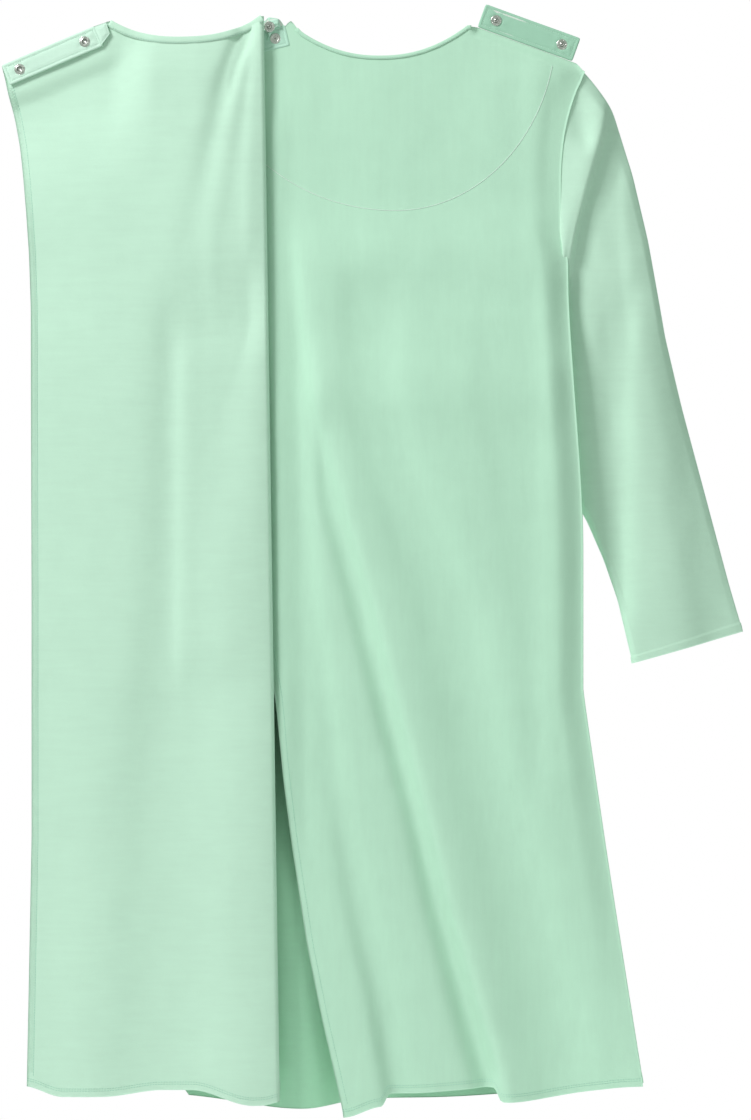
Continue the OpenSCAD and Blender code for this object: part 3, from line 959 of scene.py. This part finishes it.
def turn_y(degrees):
    """Rows are the local X, Y and Z axes after a turn about Y."""
    a = math.radians(degrees)
    return np.array([[math.cos(a), 0, -math.sin(a)], [0, 1, 0], [math.sin(a), 0, math.cos(a)]])


def lean_x(axes, degrees):
    a = math.radians(degrees)
    tilt = np.array([[1, 0, 0], [0, math.cos(a), math.sin(a)], [0, -math.sin(a), math.cos(a)]])
    return tilt @ axes


class Place:
    """A tab's or strip's own axes: x along it, y through it (0 is the snaps' side), z up across it."""

    def __init__(self, origin, axes, height, shift=(0, 0, 0)):
        self.axes = axes
        self.origin = np.array(origin, float) + np.array(shift, float) @ axes
        self.height = height

    def world(self, p):
        return np.asarray(p, float) @ self.axes + self.origin


def right_tab_place():
    low, _ = mm_box("right_tab")
    corner_z = low[2] + TAB_L * math.sin(math.radians(TAB_TILT))
    return Place((low[0], low[1], corner_z), turn_y(TAB_TILT), TAB_H)


def left_tab_place():
    axes = lean_x(turn_y(-TAB_TILT), -LEFT_TAB_LEAN)
    return Place(joint_at("left_tab_fold"), axes, TAB_H, (-TAB_L, 0, 0))


def flap_strip_place():
    low, high = mm_box("flap_strip")
    a = math.radians(FLAP_STRIP_TILT)
    top_left = (low[0], low[1], high[2] - TAB_L * math.sin(a))
    return Place(top_left, turn_y(-FLAP_STRIP_TILT), STRIP_H, (0, 0, -STRIP_H))


def inner_strip_place():
    _, high = mm_box("inner_strip")
    a = math.radians(INNER_STRIP_TILT)
    axes = turn_y(-INNER_STRIP_TILT) * np.array([[-1], [-1], [1]])
    corner = (high[0] - STRIP_H * math.sin(a), high[1], high[2])
    return Place(corner, axes, STRIP_H, (0, 0, -STRIP_H))


RIGHT_TAB = right_tab_place()
LEFT_TAB = left_tab_place()
FLAP_STRIP = flap_strip_place()
INNER_STRIP = inner_strip_place()


def fine_ends(length, n):
    """Points from 0 to length: n over the middle and closer ones over the last 5 mm at each end."""
    start, end = np.linspace(0, 5, 12)[:-1], np.linspace(length - 5, length, 12)[1:]
    return np.concatenate([start, np.linspace(5, length - 5, n), end])


def rounded_tab(place, seed, warp):
    """A tab of two turned-in layers: soft rounded edges, sewn flat near the edge, puckered at the snaps."""
    corner, edge_r, half_t = 1.6, 1.1, TAB_T / 2
    w, h = TAB_L, place.height
    u, v = fine_ends(w, 104), fine_ends(h, 26)
    x, z = np.meshgrid(u, v)
    pull = corner * 0.3
    for cx in (0, w):
        for cz in (0, h):
            near = np.exp(-(((x - cx) ** 2 + (z - cz) ** 2) / corner**2))
            x = x + near * pull * (1 if cx == 0 else -1)
            z = z + near * pull * (1 if cz == 0 else -1)
    d = np.minimum(np.minimum(u[None, :], w - u[None, :]), np.minimum(v[:, None], h - v[:, None]))
    t = half_t * np.sqrt(1 - (1 - np.clip(d / edge_r, 0, 1)) ** 2)
    t = t - 0.3 * np.exp(-(((d - 3.6) / 0.75) ** 2)) + 0.22 * smooth((d - 4.4) / 3)
    t = t + 0.16 * np.exp(-(((d - 1.8) / 1.2) ** 2))
    middle = np.zeros_like(x)
    for sx in SNAP_X:
        r = np.hypot(x - sx, z - h / 2)
        t = t - 0.34 * (1 - smooth((r - SNAP_R + 0.2) / 2.2)) * smooth(d / 1.5)
        angle = np.arctan2(z - h / 2, x - sx)
        middle = middle + 0.18 * np.exp(-(((r - 8) / 3) ** 2)) * np.cos(angle * 5 + seed)
    rough = np.array([ripple(x + k * 200, z * 2.2, 15, seed + k) for k in (0, 1)])
    middle = middle + warp(x / w, z / h)
    front = np.stack([x, half_t + middle - t - 0.14 * rough[0] * smooth(d / 2), z], -1)
    back = np.stack([x, half_t + middle + t + 0.14 * rough[1] * smooth(d / 2), z], -1)
    nv, nu = x.shape
    verts = np.concatenate([place.world(front.reshape(-1, 3)), place.world(back.reshape(-1, 3))])
    j, i = np.meshgrid(np.arange(nv - 1), np.arange(nu - 1), indexing="ij")
    a, b = j * nu + i, j * nu + i + 1
    c, e = (j + 1) * nu + i + 1, (j + 1) * nu + i
    skin = np.stack([a, b, c, e], -1).reshape(-1, 4)
    base = nv * nu
    ring = np.concatenate([
        np.arange(nu), nu - 1 + nu * np.arange(1, nv), (nv - 1) * nu + np.arange(nu - 2, -1, -1),
        nu * np.arange(nv - 2, 0, -1),
    ])
    after = np.roll(ring, -1)
    rim = np.stack([ring, ring + base, after + base, after], -1)
    faces = np.concatenate([skin, skin[:, ::-1] + base, rim])
    if np.linalg.det(place.axes) < 0:
        faces = faces[:, ::-1]
    return verts, faces


def tab_threads(place, warp, inset=3.6, pitch=2.6, length=2.0):
    w, h = TAB_L, place.height
    right, top = w - inset, h - inset
    corners = [(inset, inset), (right, inset), (right, top), (inset, top), (inset, inset)]
    out = []
    for (x0, z0), (x1, z1) in zip(corners, corners[1:]):
        run = math.hypot(x1 - x0, z1 - z0)
        n = int(run // pitch)
        for k in range(n):
            ends = [(k * pitch + 0.2) / run, (k * pitch + length) / run]
            for side, face in ((-1, 0.26), (1, TAB_T - 0.26)):
                line = []
                for t in np.linspace(ends[0], ends[1], 5):
                    x, z = mix(x0, x1, t), mix(z0, z1, t)
                    bow = 0.16 * math.sin((t - ends[0]) / (ends[1] - ends[0]) * math.pi)
                    line.append((x, face + side * bow + warp(x / w, z / h), z))
                out.append(place.world(line))
    return out


# ---------------------------------------------------------------- snaps
def lathe(profile, sides=40):
    """Points and faces of a closed or open profile of (radius, height) turned about its axis."""
    profile = np.asarray(profile, float)
    n = len(profile)
    a = np.linspace(0, 2 * math.pi, sides, endpoint=False)
    verts = np.array([(r * math.cos(t), y, r * math.sin(t)) for t in a for r, y in profile])
    faces = []
    for k in range(sides):
        k2 = (k + 1) % sides
        for m in range(n):
            m2 = (m + 1) % n
            faces.append((k * n + m, k * n + m2, k2 * n + m2, k2 * n + m))
    return verts, faces


def rounded(profile, r=0.12):
    """Cuts each corner of a closed profile into a small two-step round."""
    pts = np.asarray(profile, float)
    out = []
    for k in range(len(pts)):
        here, before, after = pts[k], pts[k - 1], pts[(k + 1) % len(pts)]
        for other in (before, after):
            d = other - here
            length = np.linalg.norm(d)
            out.append(here + d / max(length, 1e-6) * min(r, length * 0.4))
        if here[0] > 0.05:
            middle = (out[-1] + out[-2]) / 2
            out.insert(len(out) - 1, mix(middle, here, 0.55))
    return out


FLANGE_T = 0.6
STUD_R = 1.9
STUD_H = 2.2
STUD_PROFILE = [
    (0.02, 0), (SNAP_R, 0), (SNAP_R, 0.32), (SNAP_R - 0.35, 0.55), (SNAP_R - 0.8, FLANGE_T), (3.3, 0.5),
    (2.5, 0.62), (STUD_R - 0.1, 0.9), (STUD_R - 0.16, 1.6), (STUD_R, 2.2), (STUD_R - 0.12, 2.6),
    (STUD_R - 0.6, FLANGE_T + STUD_H), (0.8, FLANGE_T + STUD_H - 0.05), (0.5, FLANGE_T + STUD_H - 0.4),
    (0.02, FLANGE_T + STUD_H - 0.5),
]
SOCKET_PROFILE = [
    (0.02, 0), (SNAP_R, 0), (SNAP_R, 0.32), (SNAP_R - 0.35, 0.55), (SNAP_R - 0.8, FLANGE_T), (4.3, 0.55),
    (3.75, 0.7), (3.55, 1.3), (3.6, 2.0), (3.35, 2.3), (2.9, 2.3), (2.45, 2.1), (2.05, 2.2), (2.0, 1.95),
    (2.0, 1.75), (2.65, 1.75), (2.7, 1.15), (2.0, 1.1), (2.0, 0.62), (0.02, 0.62),
]
SPRING_PROFILE = [
    (2.32 + 0.26 * math.cos(t), 1.45 + 0.26 * math.sin(t)) for t in turns(12)
]
RING_PROFILE = [
    (3.1, 0), (SNAP_R, 0), (SNAP_R, 0.25), (SNAP_R - 0.25, 0.5), (SNAP_R - 0.7, FLANGE_T), (3.9, FLANGE_T),
    (3.35, 0.5), (3.1, 0.25),
]
DISH_PROFILE = [(0.02, 0.02), (0.9, 0.02), (3.2, 0.02), (3.2, 0.22), (2.6, 0.14), (0.9, 0.1), (0.02, 0.2)]


def pegs(levels, circle, start_angle, sides, count=5):
    """Closed round pegs on a circle, each a stack of (radius, height) rings from its top down."""
    verts, faces = [], []
    for angle in turns(count, start_angle):
        x, z = circle * math.cos(angle), circle * math.sin(angle)
        start = len(verts)
        for r, y in levels:
            verts += [(x + r * math.cos(t), y, z + r * math.sin(t)) for t in turns(sides)]
        faces += tube_faces(start, len(levels), sides)
    return np.array(verts), faces


# Small domes where the prongs are clenched, and the prongs themselves, through the tab
DIMPLES = pegs([(0.231, FLANGE_T + 0.18), (0.44, FLANGE_T + 0.08), (0.55, FLANGE_T - 0.06)], 4.45, 0.3, 10)
SHAFTS = pegs([(0.34, 0.05), (0.34, -TAB_T - 0.1)], 4.2, 0.0, 8)
STUD_PARTS = [lathe(rounded(STUD_PROFILE)), DIMPLES]
SOCKET_PARTS = [lathe(rounded(SOCKET_PROFILE)), DIMPLES]
RING_PARTS = [lathe(rounded(RING_PROFILE)), lathe(DISH_PROFILE), SHAFTS]
# Radii of the snap faces that take the dark metal, in the hollow and at the centre: painted shade.
SHADED_HOLLOW_RADII = (1.9, 2.75)
SHADED_CENTRE_RADIUS = 1.0


def snap_parts(name, place, parts, side, material, shape=None):
    """Puts (points, faces) parts at both snap places of a tab. side is -1 on the snaps' face. Faces in
    the hollow between the rim and the middle, and at the centre, get the dark metal: painted shade."""
    verts, faces, dark = [], [], []
    for sx in SNAP_X:
        centre = place.world([(sx, 0, place.height / 2)])
        moved = shape(centre.copy()) if shape else centre
        # The stud on the left tab's curled end is turned square to the camera
        axes = turn_y(-TAB_TILT) if shape is left_tab_shape and sx > TAB_L / 2 else place.axes
        for points, part_faces in parts:
            points = np.array(points)
            local = np.stack([
                sx + points[:, 0],
                (0.0 if side < 0 else TAB_T) + side * points[:, 1],
                place.height / 2 + points[:, 2],
            ], -1)
            start = len(verts)
            verts.extend((local - [sx, 0, place.height / 2]) @ axes + moved)
            turned = side * np.linalg.det(place.axes) > 0
            radius = np.hypot(points[:, 0], points[:, 2])
            for f in part_faces:
                middle = radius[list(f)].mean()
                painted_shade_face = SHADED_HOLLOW_RADII[0] < middle < SHADED_HOLLOW_RADII[1] or middle < SHADED_CENTRE_RADIUS
                dark.append(int(painted_shade_face))
                f = tuple(start + k for k in f)
                faces.append(f if turned else f[::-1])
    return make_mesh(name, verts, faces, [material, NICKEL_PAINTED_SHADE], dark)


def make_snaps(name, place, parts, body, shape=None):
    """The two studs or sockets of a tab or strip, and the prong rings behind them."""
    for suffix, built, side in (("s", parts, -1), ("_rings", RING_PARTS, 1)):
        piece = snap_parts(name + suffix + "_metal", place, built, side, NICKEL, shape)
        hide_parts(name + suffix)
        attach(piece, body)


def no_warp(u, v):
    return 0.0 * u


def end_patch(name, corners, thick, material, seed, n=18):
    """A small pillowed patch of folded cloth between four corners."""
    u, v = np.meshgrid(np.linspace(0, 1, n), np.linspace(0, 1, n))
    a, b, c, d = (np.array(k, float) for k in corners)
    flat = (1 - v)[..., None] * mix(a, b, u[..., None]) + v[..., None] * mix(d, c, u[..., None])
    edge = np.minimum(np.minimum(u, 1 - u), np.minimum(v, 1 - v))
    puff = 0.9 * smooth(edge / 0.3) + 0.2 * ripple(flat[..., 0], flat[..., 2], 7, seed)
    flat[..., 1] -= puff
    return cloth(name, flat, material, material, thick=thick)


def right_warp(u, v):
    return 0.5 * np.sin(math.pi * u * 1.3 + 0.4) + 0.3 * (v - 0.5) * np.cos(math.pi * u)


def left_warp(u, v):
    return 0.6 * np.sin(math.pi * u) + 1.2 * smooth((u - 0.72) / 0.28) * (v - 0.3)


def strip_warp(u, v):
    return -0.5 * np.sin(math.pi * u) - 0.25 * np.cos(3 * math.pi * u) * (1 - v)


# Lower and upper edge, as (x, z), of the left tab's end that shows beside the fold
CURL_LOW = [(-126, -32), (-122.2, -26), (-119.8, -19.3), (-114.4, -11.4), (-111.5, -6.9), (-108.5, -1),
            (-103, -1.5), (-98, -2)]
CURL_TOP = [(-126, 8.4), (-122, 9.4), (-112, 8.2), (-108, 7.8), (-103, 6.2), (-98, 5)]
CURL_Y = mm_box("inner_strip")[0][1] - 3.6


def left_tab_shape(p):
    """The tab's end curls up beside the fold and narrows towards its seam."""
    x = p[:, 0]
    local = (p - LEFT_TAB.origin) @ LEFT_TAB.axes.T
    through, up = local[:, 1], local[:, 2] / TAB_H
    low = np.interp(x, [q[0] for q in CURL_LOW], [q[1] for q in CURL_LOW])
    top = np.interp(x, [q[0] for q in CURL_TOP], [q[1] for q in CURL_TOP])
    curl = smooth((x + 134) / 10)
    p[:, 2] = mix(p[:, 2], mix(low, top, up), curl)
    in_front = CURL_Y - 1.6 * np.sin(math.pi * np.clip(up, 0, 1)) + through
    p[:, 1] = mix(p[:, 1], in_front, smooth((x + 122) / 7) * (1 - smooth((x + 106) / 8)))
    return p


def make_tab(name, place, body, warp, seed, material, shape=None):
    verts, faces = rounded_tab(place, seed, warp)
    lines = tab_threads(place, warp)
    if shape:
        verts = shape(verts)
        lines = [shape(np.array(line)) for line in lines]
    obj = make_mesh(name + "_cloth", verts, faces, [material])
    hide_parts(name)
    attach(obj, body)
    seams = threads(name + "_stitching", lines, TAB_THREAD_R, THREAD)
    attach(seams, body)


INNER_SOCKET_SHIFT = np.array([2.6, 0, 0.4])
# Each tab or strip takes a trim copy whose brightness stands for the light on it: painted light and shade.
TABS = [
    ("right_tab", RIGHT_TAB, "right_tab", right_warp, 41, TRIM),
    ("left_tab", LEFT_TAB, "left_tab", left_warp, 43, TRIM_SOFT_PAINTED_LIGHT, left_tab_shape),
    ("flap_strip", FLAP_STRIP, "outer_flap", strip_warp, 45, TRIM_PALE_PAINTED_LIGHT),
    ("inner_strip", INNER_STRIP, "inner_panel", no_warp, 47, TRIM_SOFT_PAINTED_LIGHT),
]
for row in TABS:
    make_tab(*row)
make_snaps("right_stud", RIGHT_TAB, STUD_PARTS, "right_tab")
make_snaps("left_stud", LEFT_TAB, STUD_PARTS, "left_tab", left_tab_shape)
make_snaps("flap_socket", FLAP_STRIP, SOCKET_PARTS, "outer_flap")
make_snaps("inner_socket", INNER_STRIP, SOCKET_PARTS, "inner_panel", lambda c: c + INNER_SOCKET_SHIFT)
strip_end = FLAP_STRIP.world([(TAB_L - 1.5, 0.4, STRIP_H - 0.5), (TAB_L + 12, 0.6, STRIP_H - 1.5),
                              (TAB_L + 11, 0.6, 9), (TAB_L - 1.5, 0.4, 1.5)])
end_piece = end_patch("flap_strip_end_cloth", strip_end, 1.4, TRIM_PALE_PAINTED_LIGHT, 61)
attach(end_piece, "outer_flap")
for strip, place, body in (("flap", FLAP_STRIP, "outer_flap"), ("inner", INNER_STRIP, "inner_panel")):
    # The springs inside the sockets are all dark metal: painted shade in the sockets.
    spring = snap_parts(strip + "_springs_metal", place, [lathe(SPRING_PROFILE)], -1, NICKEL_PAINTED_SHADE)
    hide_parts(strip + "_socket_springs")
    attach(spring, body)


def curled_filling(node, place, shape, n=48):
    """The interfacing of a reshaped tab: a thin sheet that follows the tab's own curl."""
    obj = frame["nodes"][node]
    world = np.array([obj.matrix_world @ v.co for v in obj.data.vertices]) / MM
    local = (world - place.origin) @ place.axes.T
    low, high = local.min(0), local.max(0)
    x, z = np.meshgrid(np.linspace(low[0], high[0], n), np.linspace(low[2], high[2], n // 4))
    middle = np.stack([x, np.full_like(x, (low[1] + high[1]) / 2), z], -1)
    shaped = shape(place.world(middle.reshape(-1, 3))).reshape(middle.shape)
    made = cloth(node + "_felt", shaped, FELT, FELT, thick=high[1] - low[1])
    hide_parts(node)
    return made


filling = curled_filling("left_tab_interfacing", LEFT_TAB, left_tab_shape)
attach(filling, "left_tab")
for node in frame["nodes"]:
    if node.endswith("_interfacing") and node != "left_tab_interfacing":
        filling = frame["nodes"][node]
        filling.data.materials.clear()
        filling.data.materials.append(FELT)


# ---------------------------------------------------------------- neck bindings
BINDING_H = 7.0


def binding(name, top_line, material, seed, height=BINDING_H, outer=1.75):
    """A folded band over a neck edge: a rounded U section swept along the edge line (points, in mm).
    outer is half the band's thickness; both of its legs reach the same height."""
    line = resample(top_line, 2.2)
    line = np.vstack([line, np.asarray(top_line)[-1:]])
    tangent = np.gradient(line, axis=0)
    tangent[:, 1] = 0
    tangent /= np.linalg.norm(tangent, axis=1, keepdims=True)
    down_way = np.stack([-tangent[:, 2], np.zeros(len(line)), tangent[:, 0]], -1)
    down_way *= np.where(down_way[:, 2:3] > 0, -1, 1)
    inner = outer - 0.55
    section = []
    for r, turn in ((outer, 1), (inner, -1)):
        leg = [(-r, -height), (-r, -height * 0.45)]
        arc = [(-r * math.cos(t), r * math.sin(t) * 0.8) for t in np.linspace(0, math.pi, 9)]
        leg2 = [(r, -height * 0.45), (r, -height)]
        part = leg + arc + leg2
        section += part if turn > 0 else part[::-1]
    section = np.array(section)
    n = len(section)
    verts, faces = [], []
    for k, p in enumerate(line):
        wob = 0.12 * ripple(np.array([p[0]]), np.array([p[2]]), 9, seed)[0]
        for sy, sz in section:
            groove = 0.28 * math.exp(-(((sz + height - 1.6) / 0.7) ** 2)) * (1 if abs(sy) > 1.4 else 0)
            y = (abs(sy) - groove + wob) * math.copysign(1, sy) if abs(sy) > 0.2 else sy
            verts.append(p + np.array([0, y, 0]) - down_way[k] * sz)
    for k in range(len(line) - 1):
        for m in range(n):
            m2 = (m + 1) % n
            faces.append((k * n + m, (k + 1) * n + m, (k + 1) * n + m2, k * n + m2))
    faces.append(tuple(range(n)))
    faces.append(tuple((len(line) - 1) * n + m for m in range(n))[::-1])
    band = make_mesh(name, verts, faces, [material])
    sewn = line + down_way * (height - 1.6) + np.array([0, -outer + 0.18, 0])
    return band, sewn


def edge_line(x0, x1, top, depth):
    x = np.linspace(x0, x1, 140)
    z = top(x)
    return np.stack([x, depth(x, z), z], -1)


flap_neck = edge_line(-279, -123.5, lambda x: flap_neck_z(x) + 0.9, flap_y)
flap_binding, flap_sewn = binding("outer_neck_binding_cloth", flap_neck, INSIDE, 51, outer=1.3)
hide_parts("outer_neck_binding")
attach(flap_binding, "outer_flap")

back_neck = edge_line(-86, 95, lambda x: back_neck_z(x) + 0.5, inner_y)
back_binding, back_sewn = binding("inner_neck_roll_cloth", back_neck, FACE, 53, height=3.4, outer=1.15)
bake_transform(back_binding)

front_neck = edge_line(-88, 88, lambda x: neck_z(x, FRONT_NECK_DROP) - 0.6, front_y)
front_binding, _ = binding("front_neck_binding_cloth", front_neck, TRIM_SOFT_PAINTED_LIGHT, 55)
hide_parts("front_neck_binding")
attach(front_binding, "gown")


# ---------------------------------------------------------------- stitching on the panels
def at_height(p, above):
    """The line that runs above mm over a panel's bottom edge, across all its columns."""
    out = []
    for i in range(p.shape[1]):
        z, want = p[:, i, 2], p[-1, i, 2] + above
        out.append([np.interp(-want, -z, p[:, i, k]) for k in (0, 1)] + [want])
    return np.array(out)


def at_inset(p, inset, rows):
    """The line that runs inset mm in from a panel's left edge, over some of its rows."""
    out = []
    for j in rows:
        x, want = p[j, :, 0], p[j, 0, 0] + inset
        out.append([want] + [np.interp(want, x, p[j, :, k]) for k in (1, 2)])
    return np.array(out)


def lifted(line, amount):
    return line + np.array([0, -amount, 0])


SURFACE = CLOTH_T / 2 + 0.04
HEM_LINES = (6.2, 8.4)


def hem_threads(p):
    out = []
    for above in HEM_LINES:
        out += running_stitches(lifted(at_height(p, above), SURFACE), 2.8, 2.1)
    return out


flap_seams = hem_threads(flap_p)
edge_rows = range(8, flap_p.shape[0] - 10)
flap_seams += running_stitches(lifted(at_inset(flap_p, 6.6, edge_rows), SURFACE), 2.8, 2.2)
edge_row = lifted(at_inset(flap_p, 1.6, edge_rows), SURFACE)
edge_seams = running_stitches(edge_row, 2.8, 2.2) + ladder(edge_row, np.array([5.0, 0, 0]), 2.8)
flap_seams += running_stitches(flap_sewn, 2.6, 2.0)
flap_thread = threads("outer_flap_stitching", flap_seams, HEM_THREAD_R, THREAD_HEM)
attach(flap_thread, "outer_flap")
edge_thread = threads("outer_flap_edge_stitching", edge_seams, EDGE_THREAD_R, THREAD)
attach(edge_thread, "outer_flap")

side_thread = threads("outer_side_stitching", hem_threads(side_p), HEM_THREAD_R, THREAD_HEM)
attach(side_thread, "gown")


def facing_line():
    """Points along the facing's curved edge, on the inner back panel."""
    t = np.radians(np.linspace(176, 2, 260))
    x = FACING_MIDDLE + np.where(np.cos(t) > 0, FACING_RIGHT, FACING_LEFT) * np.cos(t)
    z = -FACING_DROP * np.sin(t)
    kept = (x >= crease_x(z) - 20) & (z <= shoulder_z(x) - 6)
    x, z = x[kept], z[kept]
    return np.stack([x, inner_y(x, z), z], -1)


inner_seams = hem_threads(inner_p)
inner_seams += running_stitches(back_sewn, 2.6, 2.0)
free_rows = range(inner_p.shape[0] // 2, inner_p.shape[0] - 10)
inner_seams += running_stitches(lifted(at_inset(inner_p, 6.5, free_rows), SURFACE), 2.8, 2.1)
inner_thread = threads("inner_back_stitching", inner_seams, HEM_THREAD_R, THREAD_HEM)
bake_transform(inner_thread)

# The facing's stitches take the near-white thread: painted highlight.
facing_seams = running_stitches(lifted(facing_line(), SURFACE), 2.6, 2.4, 0.0)
facing_thread = threads("inner_facing_stitching", facing_seams, FACING_THREAD_R, THREAD_PAINTED_HIGHLIGHT)
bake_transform(facing_thread)


def cuff_threads(p):
    """Stitches round a cuff, on the outside of the sleeve."""
    normal = grid_normals(p, True)
    row = len(p) - 12
    while np.linalg.norm(p[row, 0] - p[-1, 0]) < 17:
        row -= 1
    line = p[row] - normal[row] * SURFACE
    line = np.vstack([line, line[:1]])
    return running_stitches(line, 2.8, 2.1, 0.0)


for side, p in (("right", right_p), ("left", left_p)):
    seam = threads(side + "_cuff_stitching", cuff_threads(p), HEM_THREAD_R, THREAD_HEM)
    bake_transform(seam)


# ---------------------------------------------------------------- camera, light, floor
PHOTO_HEIGHT = 1164.8
VIEW_AT = (-4.7, -555.4)
FOCAL, SENSOR = 100.0, 36.0
FLOOR_Z = -1.36


def make_camera():
    data = bpy.data.cameras.new("camera")
    data.lens = FOCAL
    data.sensor_fit = "VERTICAL"
    data.sensor_height = SENSOR
    distance = PHOTO_HEIGHT * FOCAL / SENSOR
    data.clip_end = 40
    obj = bpy.data.objects.new("camera", data)
    bpy.context.scene.collection.objects.link(obj)
    obj.location = Vector((VIEW_AT[0], -distance - 4, VIEW_AT[1])) * MM
    obj.rotation_euler = (math.pi / 2, 0, 0)
    bpy.context.scene.camera = obj


def area_light(name, at, aim, size, power):
    data = bpy.data.lights.new(name, "AREA")
    data.shape = "RECTANGLE"
    data.size, data.size_y = size
    data.energy = power
    obj = bpy.data.objects.new(name, data)
    bpy.context.scene.collection.objects.link(obj)
    obj.location = at
    obj.rotation_euler = (Vector(aim) - Vector(at)).to_track_quat("-Z", "Y").to_euler()


def make_world():
    world = bpy.data.worlds.new("studio")
    bpy.context.scene.world = world
    world.use_nodes = True
    nodes, links = world.node_tree.nodes, world.node_tree.links
    nodes.clear()
    out = nodes.new("ShaderNodeOutputWorld")
    dim, bright = nodes.new("ShaderNodeBackground"), nodes.new("ShaderNodeBackground")
    dim.inputs["Color"].default_value = (0.84, 1.0, 0.88, 1)
    dim.inputs["Strength"].default_value = 0.4
    bright.inputs["Color"].default_value = (1, 1, 1, 1)
    bright.inputs["Strength"].default_value = 1.0
    ray = nodes.new("ShaderNodeLightPath")
    blend = nodes.new("ShaderNodeMixShader")
    links.new(ray.outputs["Is Camera Ray"], blend.inputs[0])
    links.new(dim.outputs[0], blend.inputs[1])
    links.new(bright.outputs[0], blend.inputs[2])
    links.new(blend.outputs[0], out.inputs["Surface"])


def make_floor():
    bpy.ops.mesh.primitive_plane_add(size=2.3, location=(0, 0, FLOOR_Z))
    floor = bpy.context.object
    floor.name = "floor"
    pale = Shader("floor_pale")
    pale.bsdf.inputs["Base Color"].default_value = (0.86, 0.86, 0.86, 1)
    pale.bsdf.inputs["Roughness"].default_value = 0.7
    floor.data.materials.append(pale.material)


make_camera()
make_world()
make_floor()
area_light("key", (-2.4, -2.1, 2.0), (0, 0, -0.25), (0.95, 1.2), 127)
area_light("fill", (2.6, -3.6, -0.3), (0, 0, -0.5), (1.8, 1.8), 14)
area_light("rear", (1.6, 3.4, 1.6), (0, 0, -0.4), (1.6, 1.6), 90)
scene = bpy.context.scene
scene.view_settings.view_transform = "Standard"
scene.view_settings.look = "None"
